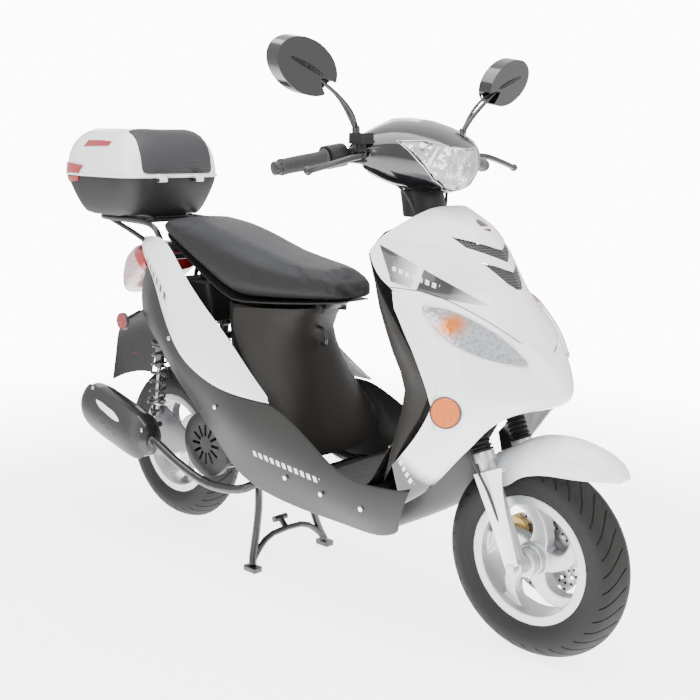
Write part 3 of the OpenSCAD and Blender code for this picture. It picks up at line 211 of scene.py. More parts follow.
def along(f, a, b):
    # two lengths in the side view, in metres: along the line from a to b, and square to it
    ax, az = place((a[0], 0, a[1])).xz
    bx, bz = place((b[0], 0, b[1])).xz
    run = math.hypot(bx - ax, bz - az)
    dx, dz = (bx - ax) / run, (bz - az) / run
    return ((f.x - ax) * dx + (f.z - az) * dz, (f.z - az) * dx - (f.x - ax) * dz, run)


def inside(f, corners, soft=0.0006):
    # 1 inside a convex outline in the side view, its corners given clockwise in mm
    mask = None
    for k, corner in enumerate(corners):
        _, off, _ = along(f, corner, corners[(k + 1) % len(corners)])
        side = off.below(0.0, soft)
        mask = side if mask is None else mask * side
    return mask


def bars(f, a, b, half, count, slant=0.6, share=0.62):
    # a row of slanted bars along a line, in place of lettering
    u, v, run = along(f, a, b)
    step = run / count
    part = ((u + v * slant) / step).math("FRACT")
    lines = part.below(share, 0.02) * part.above(0.02, 0.02)
    return lines * v.below(half) * v.above(-half) * u.above(0.0) * u.below(run)


def outer(f, edge=0.0):
    # 1 on faces that look away from the middle plane, beyond a distance from it
    normal = Wire(f, f.node("NewGeometry").socket.node.outputs["Normal"])
    across = Wire(f, f.node("SeparateXYZ", sockets={0: normal}).socket.node.outputs[1])
    away = (across * f.y).above(0.0, 0.0001)
    return away * f.y.math("ABSOLUTE").above(edge)


# ---- Modelling ----

def deselect():
    if bpy.context.object and bpy.context.object.mode != "OBJECT":
        bpy.ops.object.mode_set(mode="OBJECT")
    bpy.ops.object.select_all(action="DESELECT")


def take(*pieces):
    deselect()
    for piece in pieces:
        piece.select_set(True)
    bpy.context.view_layer.objects.active = pieces[0]
    return pieces[0]


def modify(piece, kind, **settings):
    take(piece)
    modifier = piece.modifiers.new(kind.title(), kind)
    for key, value in settings.items():
        setattr(modifier, key, value)
    bpy.ops.object.modifier_apply(modifier=modifier.name)
    return piece


def edit(piece, *steps):
    # steps in edit mode with everything selected
    take(piece)
    bpy.ops.object.mode_set(mode="EDIT")
    bpy.ops.mesh.select_all(action="SELECT")
    for step in steps:
        step()
    bpy.ops.object.mode_set(mode="OBJECT")
    return piece


def outwards():
    bpy.ops.mesh.remove_doubles(threshold=0.00002)
    bpy.ops.mesh.normals_make_consistent(inside=False)


def join(name, pieces):
    if len(pieces) > 1:
        take(*pieces)
        bpy.ops.object.join()
    pieces[0].name = name
    pieces[0].data.name = name
    return pieces[0]


def shaded(piece, angle=None):
    take(piece)
    if angle is None:
        bpy.ops.object.shade_smooth()
    else:
        bpy.ops.object.shade_smooth_by_angle(angle=math.radians(angle))
    return piece


def placed(piece):
    # the object goes back to the origin and its place into its mesh
    take(piece)
    bpy.ops.object.transform_apply(location=True, rotation=True, scale=True)
    return piece


def finished(piece, body, slot, material, *stands):
    piece.data.materials.clear()
    piece.data.materials.append(material)
    placed(piece)
    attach(piece, body)
    if stands:
        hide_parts(*stands)
    return piece


def meshed(name, points, edges=(), faces=()):
    mesh = bpy.data.meshes.new(name)
    mesh.from_pydata([tuple(p) for p in points], edges, faces)
    mesh.update()
    piece = bpy.data.objects.new(name, mesh)
    bpy.context.scene.collection.objects.link(piece)
    return piece


def copied(node, name=None):
    # a CAD node's mesh as a new piece, its triangles merged into quads
    piece = bpy.data.objects.new(name or node + ".shape", nodes[node].data.copy())
    bpy.context.scene.collection.objects.link(piece)
    piece.data.materials.clear()
    return edit(piece, lambda: bpy.ops.mesh.remove_doubles(threshold=0.00002),
                lambda: bpy.ops.mesh.tris_convert_to_quads(face_threshold=math.radians(60),
                                                          shape_threshold=math.radians(180)))


def bevelled(piece, width, angle=50, segments=2):
    return modify(piece, "BEVEL", width=width, segments=segments, limit_method="ANGLE",
                  angle_limit=math.radians(angle), use_clamp_overlap=True)


def twin(piece, name=None):
    # a copy with its own mesh
    other = piece.copy()
    other.data = piece.data.copy()
    other.name = name or piece.name
    bpy.context.scene.collection.objects.link(other)
    return other


def wrapped(piece, target, lift, mode="ABOVE_SURFACE"):
    # laid on another piece's surface, that many metres above it
    return modify(piece, "SHRINKWRAP", target=target, wrap_method="NEAREST_SURFACEPOINT", wrap_mode=mode,
                  offset=lift)


def rounded(piece, width=0.0008, levels=1, angle=40, segments=2):
    bevelled(piece, width, angle, segments)
    if levels:
        modify(piece, "SUBSURF", levels=levels, render_levels=levels)
    return shaded(piece)


def flatParts(node, width=0.0007, angle=35, name=None):
    # a hard-edged CAD node as a piece whose edges are rounded
    piece = copied(node, name)
    edit(piece, lambda: bpy.ops.mesh.dissolve_limited(angle_limit=math.radians(1.5)))
    bevelled(piece, width, angle)
    modify(piece, "TRIANGULATE")
    return shaded(piece, 30)


def cast(node, voxel=0.0024, passes=3, name=None):
    # a casting: the node's shape with soft fillets in all its corners
    piece = copied(node, name)
    modify(piece, "REMESH", mode="VOXEL", voxel_size=voxel)
    modify(piece, "SMOOTH", factor=0.5, iterations=passes)
    return shaded(piece)


def curveThrough(points, steps=6):
    # points on a smooth curve through the given ones
    dense = []
    last = len(points) - 1
    for i in range(last):
        a, b, c, d = [Vector(points[k]) for k in (max(i - 1, 0), i, i + 1, min(i + 2, last))]
        for k in range(steps):
            t = k / steps
            dense.append(0.5 * (2 * b + (c - a) * t + (2 * a - 5 * b + 4 * c - d) * t * t
                                + (3 * b - a - 3 * c + d) * t ** 3))
    return dense + [Vector(points[last])]


def tube(name, points, radius, steps=6, sides=3, taper=None, closed=False):
    # a round bar through points given in mm
    dense = curveThrough(points, steps) if steps > 1 else [Vector(p) for p in points]
    curve = bpy.data.curves.new(name, "CURVE")
    curve.dimensions = "3D"
    curve.bevel_depth = radius / 1000
    curve.bevel_resolution = sides
    curve.use_fill_caps = not closed
    line = curve.splines.new("POLY")
    line.points.add(len(dense) - 1)
    line.use_cyclic_u = closed
    for k, p in enumerate(dense):
        line.points[k].co = (*place(p), 1)
        if taper:
            t = k / (len(dense) - 1)
            line.points[k].radius = taper(t)
    piece = bpy.data.objects.new(name, curve)
    bpy.context.scene.collection.objects.link(piece)
    take(piece)
    bpy.ops.object.convert(target="MESH")
    piece = bpy.context.object
    edit(piece, outwards)
    return shaded(piece, 40)


def turned(name, profile, centre, axis, steps=48, angle=None):
    # a profile of (distance from the axis, place along it) in mm, spun round an axis
    axis = Vector(axis).normalized()
    side = axis.cross(Vector((0, 0, 1)) if abs(axis.z) < 0.9 else Vector((1, 0, 0))).normalized()
    points = [place(Vector(centre) + side * r + axis * h) for r, h in profile]
    piece = meshed(name, points, [(k, k + 1) for k in range(len(points) - 1)])
    edit(piece, lambda: bpy.ops.mesh.spin(steps=steps, angle=math.tau, center=place(centre), axis=axis),
         outwards)
    return shaded(piece, angle or 35)


def ringed(name, rings, caps=True, closed=True):
    # a skin over rings of equally many points, in mm
    m, n = len(rings), len(rings[0])
    points = [place(p) for ring in rings for p in ring]
    wrap = n if closed else n - 1
    faces = [(r * n + i, r * n + (i + 1) % n, (r + 1) * n + (i + 1) % n, (r + 1) * n + i)
             for r in range(m - 1) for i in range(wrap)]
    if caps and closed:
        faces += [tuple(range(n))[::-1], tuple((m - 1) * n + i for i in range(n))]
    piece = meshed(name, points, (), faces)
    return edit(piece, outwards)


def block(name, low, high, bevel=0.001, tilt=None):
    # a box with rounded edges, between two corners in mm
    low, high = Vector(low), Vector(high)
    deselect()
    bpy.ops.mesh.primitive_cube_add(size=1, location=place((low + high) / 2))
    piece = bpy.context.object
    piece.name = name
    piece.scale = (high - low) / 1000
    if tilt:
        piece.rotation_euler = [math.radians(a) for a in tilt]
    placed(piece)
    modify(piece, "BEVEL", width=bevel, segments=3, limit_method="ANGLE")
    return shaded(piece, 35)


def bolt(name, spot, outward, radius=5.0, height=3.0, hexagon=True):
    # a screw head: a hexagon or a round head on a washer, in mm
    outward = Vector(outward).normalized()
    deselect()
    bpy.ops.mesh.primitive_cylinder_add(vertices=6 if hexagon else 20, radius=radius / 1000,
                                        depth=height / 1000,
                                        location=place(Vector(spot) + outward * height / 2))
    head = bpy.context.object
    head.rotation_euler = outward.to_track_quat("Z", "Y").to_euler()
    placed(head)
    modify(head, "BEVEL", width=radius * 0.00012, segments=2, limit_method="ANGLE")
    washer = turned(name + ".washer", [(0, 0), (radius * 1.35, 0), (radius * 1.35, 0.8), (radius * 1.2, 1.1),
                                      (0, 1.1)], spot, outward, 24)
    return shaded(join(name, [head, washer]), 35)


print("helpers ready")

# ---- Camera, floor and light ----

cameraLook = dict(place=(1.83334, -1.86459, 1.08121), azimuth=42.81, elevation=11.15, roll=0.99, lens=55.82)


def lookBack(azimuth, elevation):
    a, e = math.radians(azimuth), math.radians(elevation)
    return Vector((math.sin(a) * math.cos(e), -math.cos(a) * math.cos(e), math.sin(e)))


def addCamera():
    data = bpy.data.cameras.new("camera")
    data.lens = cameraLook["lens"]
    data.sensor_width = 36
    camera = bpy.data.objects.new("camera", data)
    bpy.context.scene.collection.objects.link(camera)
    a = math.radians(cameraLook["azimuth"])
    back = lookBack(cameraLook["azimuth"], cameraLook["elevation"])
    right = Vector((math.cos(a), math.sin(a), 0))
    up = back.cross(right)
    roll = math.radians(cameraLook["roll"])
    turnedRight = right * math.cos(roll) + up * math.sin(roll)
    turnedUp = up * math.cos(roll) - right * math.sin(roll)
    turn = Matrix((turnedRight, turnedUp, back)).transposed()
    camera.matrix_world = Matrix.Translation(cameraLook["place"]) @ turn.to_4x4()
    bpy.context.scene.camera = camera


# size, power, place and target
studioLights = {
    "top": ((3.4, 2.6), 120, (0.2, -0.4, 3.1), (0, 0, 0.4)),
    "right": ((2.2, 2.4), 60, (0.9, -3.2, 1.7), (0, 0, 0.6)),
    "front": ((1.6, 2.4), 44, (3.4, 0.7, 1.6), (0.3, 0, 0.6)),
    "behind": ((2.4, 1.6), 24, (-2.8, 2.2, 2.2), (0, 0, 0.7)),
}


def addLight(name, size, power, spot, target):
    data = bpy.data.lights.new(name, "AREA")
    data.shape = "RECTANGLE"
    data.size, data.size_y = size
    data.energy = power
    light = bpy.data.objects.new(name, data)
    bpy.context.scene.collection.objects.link(light)
    light.location = spot
    light.rotation_euler = (Vector(spot) - Vector(target)).to_track_quat("Z", "Y").to_euler()


stageLook = dict(fill=1.2, backdrop=12.0, glow=3.4, edge=1.15, fade=1.5)


def addStage():
    deselect()
    bpy.ops.mesh.primitive_plane_add(size=12, location=(0, 0, -0.0005))
    floor = bpy.context.object
    floor.name = "floor"
    f = Finish("paleFloor")
    tone = f.noise(2.0, 2.0)
    reach = (f.x * f.x + f.y * f.y).math("SQRT")
    fade = 1 - ((reach - stageLook["edge"]) / stageLook["fade"]).clamped()
    shade = f.mixed(tone, (0.90, 0.90, 0.905), (0.92, 0.92, 0.92))
    floor.data.materials.append(f.close(shade, 0.7 + tone * 0.1, **{
        "Alpha": fade, "Emission Color": (1, 1, 1), "Emission Strength": stageLook["glow"]}))
    placed(floor)
    world = bpy.data.worlds.new("studio")
    world.use_nodes = True
    tree = world.node_tree
    background = tree.nodes["Background"]
    background.inputs[0].default_value = (1, 1, 1, 1)
    rays = tree.nodes.new("ShaderNodeLightPath")
    strength = tree.nodes.new("ShaderNodeMapRange")
    strength.inputs[3].default_value = stageLook["fill"]
    strength.inputs[4].default_value = stageLook["backdrop"]
    tree.links.new(rays.outputs["Is Camera Ray"], strength.inputs[0])
    tree.links.new(strength.outputs[0], background.inputs[1])
    bpy.context.scene.world = world
    for name, values in studioLights.items():
        addLight(name, *values)


addCamera()
addStage()
print("camera, floor and light ready")

# ---- Finishes ----

gloss = plain("glossBlack", (0.004, 0.004, 0.005), 0.16, coat=1.0, grain=220, depth=0.00002)
matte = dict(spread=0.12, IOR=1.3)
darkPlastic = plain("grainedPlastic", (0.018, 0.0175, 0.017), 0.42, grain=1400, depth=0.00012, **matte)
greyPlastic = plain("towerPlastic", (0.020, 0.018, 0.016), 0.48, grain=1300, depth=0.00014, **matte)
rubber = plain("rubber", (0.016, 0.0155, 0.015), 0.62, grain=800, depth=0.0001, spread=0.15, IOR=1.3)
blackPaint = plain("blackPaint", (0.011, 0.011, 0.011), 0.32, coat=0.3, grain=500, depth=0.00005)
silver = plain("castSilver", (0.56, 0.57, 0.58), 0.38, metal=0.75, grain=700, depth=0.00012, spread=0.08)
steel = plain("steel", (0.52, 0.52, 0.53), 0.28, metal=1.0, grain=900, depth=0.00003)
chrome = plain("chrome", (0.82, 0.82, 0.83), 0.08, metal=1.0, grain=200, depth=0.00001, spread=0.02)
amberLens = plain("amberLens", (0.60, 0.13, 0.003), 0.12, coat=1.0, grain=60, depth=0.0)
redLens = plain("redLens", (0.34, 0.003, 0.005), 0.14, coat=1.0, grain=60, depth=0.0)
whitePlain = whitePaint("whitePaint")
print("finishes ready")

bodyOf = {node: body for body, members in frame["record"]["behaviour"]["bodies"].items()
          for node in members}
slotOf = {part["node"]: part["material_slot"] for part in frame["record"]["subparts"]}


def standIn(piece, node, material):
    # the piece takes a CAD node's place and body
    return finished(piece, bodyOf[node], slotOf[node], material, node)


def added(piece, node, material, slot=None):
    # a piece that goes beside a CAD node
    return finished(piece, bodyOf[node], slot or slotOf[node], material)


# ---- White panels ----

fader = dict(outline=[(280, 862), (355, 826), (505, 746), (419, 761), (321, 789)],
             start=(286, 830), end=(503, 748), dark=(0.008, 0.008, 0.008), pale=(0.62, 0.64, 0.66), edge=0.40)


def sideFader(f):
    # a printed wedge on both cheeks of the cover: dark, fading out, dark again and fading at its tip
    u, v, run = along(f, fader["start"], fader["end"])
    u = (u + v * 0.35) / run
    first = 1 - ((u - 0.10) / 0.26).clamped()
    second = u.above(fader["edge"], 0.004) * (1 - ((u - 0.66) / 0.34).clamped())
    dots = f.cells(420, out="Distance").below(0.5, 0.12) * 0.25
    ink = (first + second + dots * first).clamped()
    colour = f.mixed(ink, fader["pale"], fader["dark"])
    edge = f.y.math("ABSOLUTE").above(0.05)
    shown = inside(f, fader["outline"]) * edge * (first + second).above(0.03, 0.03)
    marks = bars(f, (316, 816), (408, 782), 0.0042, 7)
    return shown, f.mixed(marks, colour, (0.8, 0.81, 0.83))


def legFader(f):
    # the leg's lower end, black with a soft upper edge
    u = (f.x - (349 + shift) / 1000) * 0.543 + (f.z - 0.422) * 0.84
    dots = (f.cells(500, out="Distance") - 0.4) * 0.006
    shown = 1 - ((u + dots + 0.001) / 0.030).clamped()
    marks = bars(f, (368, 418), (398, 371), 0.0055, 4, 0.3)
    return shown, f.mixed(marks * outer(f, 0.1), (0.010, 0.010, 0.010), (0.75, 0.76, 0.78))


def tailStripes(f):
    # two thin lines and a row of bars along the rear panel
    u, v, run = along(f, (-596, 752), (-446, 655))
    lines = (v.above(0.0125) * v.below(0.0145) * u.above(0.015) * u.below(0.75 * run)
             + v.below(-0.0105) * v.above(-0.0125) * u.above(0.3 * run) * u.below(run)).clamped()
    marks = bars(f, (-590, 749), (-452, 659), 0.0085, 6, 0.45, 0.55)
    return (lines + marks).clamped(), (0.012, 0.012, 0.012)


coverWhite = whitePaint("coverWhite", sideFader)
legWhite = whitePaint("legWhite", legFader)
tailWhite = whitePaint("tailWhite", tailStripes)

for node, material in (("leg_shield", legWhite), ("rear_panels", tailWhite)):
    standIn(rounded(copied(node, node + ".skin"), 0.0011, 1), node, material)


# The V-shaped vents in the front view (y, z), each one opening across the middle.
vents = [
    [(-83, 881), (0, 854), (83, 881), (71, 860), (0, 829), (-71, 860)],
    [(-59, 833), (0, 811), (59, 833), (27, 789), (13, 778), (0, 776), (-13, 778), (-27, 789)],
]


def prism(name, outline, x0, x1):
    # an outline in the front view (y, z), standing along X from x0 to x1, in mm
    points = [place((x, y, z)) for x in (x0, x1) for y, z in outline]
    n = len(outline)
    faces = [tuple(range(n)), tuple(range(2 * n - 1, n - 1, -1))]
    faces += [(k, k + n, (k + 1) % n + n, (k + 1) % n) for k in range(n)]
    return edit(meshed(name, points, (), faces), outwards)


def cut(piece, other, operation="DIFFERENCE", remove=True):
    modify(piece, "BOOLEAN", object=other, operation=operation, solver="EXACT")
    if remove:
        bpy.data.objects.remove(other)
    return piece


coverSkin = rounded(copied("front_cover", "front_cover.skin"), 0.0011, 1)
meshSkin = twin(coverSkin)
for outline in vents:
    cut(coverSkin, prism("vent.cutter", outline, 330, 620))
shaded(bevelled(coverSkin, 0.0007), 40)
standIn(coverSkin, "front_cover", coverWhite)
backing = None
for outline in vents:
    wider = prism("vent.backing", outline, 330, 620)
    part = cut(twin(meshSkin), wider, "INTERSECT")
    backing = part if backing is None else join("vent_mesh", [backing, part])
bpy.data.objects.remove(meshSkin)
backing.data.transform(Matrix.Translation((-0.0035, 0, -0.0015)))
backing.name = "vent_mesh"


def meshFinish():
    # hexagonal mesh seen as raised threads over holes, in the front view; the holes are painted near-black as
    # painted shade
    f = Finish("ventMesh")
    size = 1 / 0.0052
    hexes = f.node("CombineXYZ", None, {0: f.y * size, 1: f.z * size, 2: 0.0})
    edge = f.node("TexVoronoi", {"feature": "DISTANCE_TO_EDGE"},
                  {"Vector": hexes, "Scale": 1.0, "Randomness": 0.22}, out="Distance")
    thread = edge.below(0.16, 0.05)
    # painted shade: the holes between the threads are near-black, standing in for the shade behind the grille
    colour = f.mixed(thread, (0.006, 0.006, 0.006), (0.075, 0.075, 0.078))
    return f.close(colour, 0.35 + (1 - thread) * 0.3, f.bump(thread, 0.0012, 1.0))


added(shaded(backing, 40), "front_cover", meshFinish(), "black_plastic")

fender = rounded(copied("front_fender", "front_fender.skin"), 0.0011, 1)
standIn(fender, "front_fender", whitePlain)
print("white panels ready")

# ---- Dark panels ----


def skirtFinish():
    f = Finish("skirtPlastic")
    slow, fine = f.noise(7.0, 4.0), f.noise(1400.0, 2.0, 0.6)
    colour = f.mixed(slow, (0.015, 0.0145, 0.014), (0.022, 0.021, 0.020))
    marks = bars(f, (-96, 334), (132, 318), 0.0062, 11, 0.5, 0.6)
    colour = f.mixed(marks * outer(f, 0.15), colour, (0.72, 0.73, 0.75))
    return f.close(colour, 0.30 + slow * 0.10, f.bump(fine, 0.0001, 0.6), IOR=1.35)


skirtPlastic = skirtFinish()
standIn(rounded(copied("side_skirts", "side_skirts.skin"), 0.0012, 1), "side_skirts", skirtPlastic)
standIn(rounded(copied("rear_mudguard", "rear_mudguard.skin"), 0.0008, 1), "rear_mudguard", darkPlastic)
for node in ("inner_shield", "seat_tower"):
    piece = copied(node, node + ".skin")
    standIn(shaded(bevelled(piece, 0.0009, 45), 50), node, greyPlastic)
standIn(rounded(copied("muffler_guard", "muffler_guard.skin"), 0.0007, 1), "muffler_guard", blackPaint)
for node in ("storage_bucket", "fuel_tank", "floorboard", "seat_base", "fan_shroud"):
    standIn(flatParts(node, name=node + ".moulding"), node, darkPlastic)
print("dark panels ready")

# ---- Wheels ----

tyreLook = dict(radius=216, width=92, rim=141, pitches=34, steps=6, groove=0.0032)
treadProfile = [
    (129, -26), (133, -33.5), (142, -35), (146, -37.5), (154, -41.5), (164, -44.8), (171, -46),
    (178, -45.6), (184, -44), (189, -41.6), (194, -38.4), (198, -35), (202, -30.5), (205.5, -26),
    (208.5, -21), (211, -16), (213.2, -11), (214.9, -6.5), (216, -2.2),
]


def tyreTurn(y):
    # how far the tread blocks lean back at a place across the tyre, in radians
    t = min(abs(y) / 46.0, 1.0)
    return 0.30 * t ** 1.5


def tyre(name, axle, spin=1):
    profile = treadProfile + [(r, -h) for r, h in reversed(treadProfile)]
    profile += [(128, 22), (132, 30), (160, 37), (196, 30), (206, 12), (207, 0), (206, -12), (196, -30),
                (160, -37), (132, -30), (128, -22), (129, -26)]
    steps = tyreLook["pitches"] * tyreLook["steps"]
    piece = turned(name, profile, axle, (0, 1, 0), steps)
    middle = place(axle)
    spots = [0.0, 0.11, 0.28, 0.46, 0.64, 0.82]
    for vertex in piece.data.vertices:
        p = vertex.co - middle
        r = math.hypot(p.x, p.z)
        angle = math.atan2(p.z, p.x)
        share = (angle / math.tau * tyreLook["pitches"]) % 1.0
        number = int(round(share * tyreLook["steps"])) % tyreLook["steps"]
        base = angle - share * math.tau / tyreLook["pitches"]
        if share > 0.95:
            base += math.tau / tyreLook["pitches"]
        shiftBack = spots[number] * math.tau / tyreLook["pitches"]
        y = p.y * 1000
        if r > 0.17:
            lean = tyreTurn(y) * spin + (0.5 * math.tau / tyreLook["pitches"] if y > 0 else 0)
        else:
            lean = 0
        angle = base + shiftBack + lean
        vertex.co = middle + Vector((r * math.cos(angle), p.y, r * math.sin(angle)))
    take(piece)
    mesh = piece.data
    bpy.ops.object.mode_set(mode="EDIT")
    bpy.ops.mesh.select_mode(type="FACE")
    bpy.ops.object.mode_set(mode="OBJECT")
    for face in mesh.polygons:
        c = face.center - middle
        r, y = math.hypot(c.x, c.z) * 1000, c.y * 1000
        lean = tyreTurn(y) * spin + (0.5 * math.tau / tyreLook["pitches"] if y > 0 else 0)
        share = ((math.atan2(c.z, c.x) - lean) / math.tau * tyreLook["pitches"]) % 1.0
        face.select = r > 180 and 8 < abs(y) < 43.5 and share < 0.11
    bpy.ops.object.mode_set(mode="EDIT")
    bpy.ops.mesh.inset(thickness=0.0003, depth=-tyreLook["groove"])
    bpy.ops.object.mode_set(mode="OBJECT")
    return shaded(piece, 32)


def tyreFinish(name, axle):
    # rubber with fine rings on the side walls and a dull, dusty tread
    f = Finish(name)
    middle = place(axle)
    dx, dz = f.x - middle.x, f.z - middle.z
    r = (dx * dx + dz * dz).math("SQRT")
    slow, fine = f.noise(14.0, 4.0), f.noise(700.0, 2.0, 0.6)
    rings = (r * 900).math("SINE") * 0.5 + 0.5
    wall = r.below(0.188, 0.004)
    colour = f.mixed(slow, (0.010, 0.010, 0.010), (0.018, 0.0175, 0.017))
    colour = f.mixed(r.above(0.2, 0.006) * 0.5, colour, (0.026, 0.025, 0.023))
    height = fine * 0.5 + rings * wall * 0.5
    return f.close(colour, 0.55 + slow * 0.2, f.bump(height, 0.0003, 0.6), IOR=1.3)


for node, axle, spin in (("front_tyre", frontAxle, -1), ("rear_tyre", rearAxle, -1)):
    standIn(tyre(node + ".tread", axle, spin), node, tyreFinish(node + "Rubber", axle))
for node in ("front_rim", "rear_rim"):
    standIn(cast(node, 0.0022, 3, node + ".casting"), node, silver)
print("wheels ready")

# ---- Patches on other surfaces ----

def patch(name, corners, target, lift=0.3, thick=2.0, across=16, up=16, corner=0.0, bulge=(0, 0, 0)):
    # a sheet between four corners in mm, laid on another piece's surface and given a thickness
    a, b, c, d = [Vector(p) for p in corners]
    points, faces = [], []
    for j in range(up + 1):
        for i in range(across + 1):
            u, v = i / across, j / up
            if corner:
                # a rounded outline
                x, y = 2 * u - 1, 2 * v - 1
                x, y = x * math.sqrt(1 - corner * y * y / 2), y * math.sqrt(1 - corner * x * x / 2)
                u, v = (x + 1) / 2, (y + 1) / 2
            swell = Vector(bulge) * 16 * u * (1 - u) * v * (1 - v)
            points.append(place((a * (1 - u) + b * u) * (1 - v) + (d * (1 - u) + c * u) * v + swell))
    for j in range(up):
        for i in range(across):
            k = j * (across + 1) + i
            faces.append((k, k + 1, k + across + 2, k + across + 1))
    piece = meshed(name, points, (), faces)
    wrapped(piece, target, lift / 1000, "OUTSIDE_SURFACE")
    middle = sum((v.co for v in piece.data.vertices), Vector()) / len(piece.data.vertices)
    centre = sum((Vector(corner) for corner in target.bound_box), Vector()) / 8
    first = piece.data.polygons[len(faces) // 2]
    if first.normal.dot(middle - centre) < 0:
        edit(piece, lambda: bpy.ops.mesh.flip_normals())
    modify(piece, "SOLIDIFY", thickness=thick / 1000, offset=1)
    return shaded(bevelled(piece, min(thick, 2) * 0.00035), 40)


# ---- Top case ----

def caseRing(z, grow, count=64):
    points = []
    for k in range(count):
        a = k * math.tau / count
        x = -767.5 + (167.5 + grow) * math.copysign(abs(math.cos(a)) ** 0.42, math.cos(a))
        y = (172.5 + grow) * math.copysign(abs(math.sin(a)) ** 0.42, math.sin(a))
        points.append((x, y, z))
    return points


lidSkin = rounded(copied("top_case_lid", "top_case_lid.skin"), 0.0012, 1)
tubSkin = rounded(copied("top_case_base", "top_case_base.skin"), 0.0012, 1)
padLine = [(-104, 971), (-113, 975), (-117, 984), (-117, 1036), (-107, 1112)]
pad = twin(lidSkin, "case_pad")
cut(pad, prism("pad.cutter", padLine + [(-y, z) for y, z in reversed(padLine)], -674, -560), "INTERSECT")
pad.data.transform(Matrix.Translation((0.0028, 0, 0.0028)))
shaded(bevelled(pad, 0.0013, segments=3), 40)


def padFinish():
    # a soft pad with thin ribs across its front that fade out upwards and to one side
    f = Finish("casePad")
    slow, fine = f.noise(8.0, 3.0), f.noise(1100.0, 2.0, 0.6)
    ribs = (f.z * (math.tau / 0.0062)).math("SINE") * 0.5 + 0.5
    fade = (1 - ((f.z - 0.99) / 0.07).clamped()) * ((f.y + 0.06) / 0.09).clamped()
    colour = f.mixed(slow, (0.022, 0.0225, 0.024), (0.030, 0.0305, 0.033))
    return f.close(colour, 0.5 + slow * 0.1, f.bump(ribs * fade + fine * 0.08, 0.0012, 0.9))


added(pad, "top_case_lid", padFinish(), "black_plastic")
lip = tube("case_lip", caseRing(967, 0.6), 2.8, 1, 2, closed=True)
added(lip, "top_case_lid", whitePlain, "white_plastic")
for side in (-1, 1):
    strip = patch("case_strip", [(-812, side * 172, 1049), (-702, side * 176, 1056), (-694, side * 170, 1068),
                                 (-800, side * 162, 1070)], lidSkin, 0.2, 2.4, 14, 6)
    added(strip, "top_case_lid", redLens, "red_lens")
    wrap = patch("case_reflector", [(-826, side * 180, 968), (-944, side * 150, 968),
                                    (-940, side * 148, 1001), (-800, side * 180, 992)],
                 lidSkin, 0.2, 3.4, 16, 8, 0, (-16, side * 16, 0))
    lowWrap = patch("case_reflector", [(-830, side * 180, 946), (-930, side * 150, 940),
                                       (-940, side * 150, 960), (-826, side * 180, 960)],
                    tubSkin, 0.2, 3.4, 16, 6, 0, (-16, side * 16, 0))
    added(wrap, "top_case_lid", redLens, "red_lens")
    added(lowWrap, "top_case_base", redLens, "red_lens")
    latch = block("case_lug", (-606, side * 62 - 11, 951), (-592, side * 62 + 11, 966), 0.0016)
    added(latch, "top_case_lid", whitePlain, "white_plastic")
standIn(lidSkin, "top_case_lid", whitePlain)


def tubFinish():
    # drawn plastic: finely grained, with faint upright streaks
    f = Finish("caseTub")
    slow, fine = f.noise(5.0, 3.0), f.noise(1300.0, 2.0, 0.6)
    streak = f.noise(30.0, 3.0, 0.5, (1, 1, 0.12))
    colour = f.mixed(slow * 0.6 + streak * 0.4, (0.016, 0.016, 0.016), (0.026, 0.026, 0.0255))
    return f.close(colour, 0.40 + streak * 0.12, f.bump(fine, 0.00014, 0.6), IOR=1.35)


standIn(tubSkin, "top_case_base", tubFinish())
standIn(rounded(copied("rear_carrier", "rear_carrier.tubes"), 0.0006, 1), "rear_carrier", blackPaint)
standIn(flatParts("top_case_lock", name="top_case_lock.barrel"), "top_case_lock", chrome)
print("top case ready")

# ---- Seat ----

seatLook = dict(voxel=0.0055, pressure=4.0, cap=0.006, shrink=0.003, frames=20)


def cushion(node):
    piece = copied(node, node + ".cover")
    modify(piece, "REMESH", mode="VOXEL", voxel_size=seatLook["voxel"])
    modify(piece, "SMOOTH", factor=0.5, iterations=4)
    mesh = piece.data
    for vertex, normal in zip(mesh.vertices, [v.normal.copy() for v in mesh.vertices]):
        vertex.co -= normal * seatLook["shrink"]
    rest = [v.co.copy() for v in mesh.vertices]
    group = piece.vertex_groups.new(name="base")
    low = min(v.co.z for v in mesh.vertices)
    baseSpots = [v.index for v in mesh.vertices if v.normal.z < -0.6 or v.co.z < low + 0.01]
    group.add(baseSpots, 1.0, "REPLACE")
    take(piece)
    cloth = piece.modifiers.new("Cloth", "CLOTH")
    cloth.settings.quality = 5
    cloth.settings.mass = 0.3
    cloth.settings.tension_stiffness = 30
    cloth.settings.compression_stiffness = 30
    cloth.settings.bending_stiffness = 6
    cloth.settings.use_pressure = True
    cloth.settings.uniform_pressure_force = seatLook["pressure"]
    cloth.settings.vertex_group_mass = "base"
    cloth.settings.effector_weights.gravity = 0
    cloth.collision_settings.use_collision = False
    scene = bpy.context.scene
    for number in range(1, seatLook["frames"] + 1):
        scene.frame_set(number)
    bpy.ops.object.modifier_apply(modifier=cloth.name)
    scene.frame_set(1)
    for vertex, start in zip(piece.data.vertices, rest):
        move = vertex.co - start
        if move.length > seatLook["cap"]:
            vertex.co = start + move * (seatLook["cap"] / move.length)
    modify(piece, "SMOOTH", factor=0.5, iterations=2)
    return shaded(modify(piece, "SUBSURF", levels=1, render_levels=1))


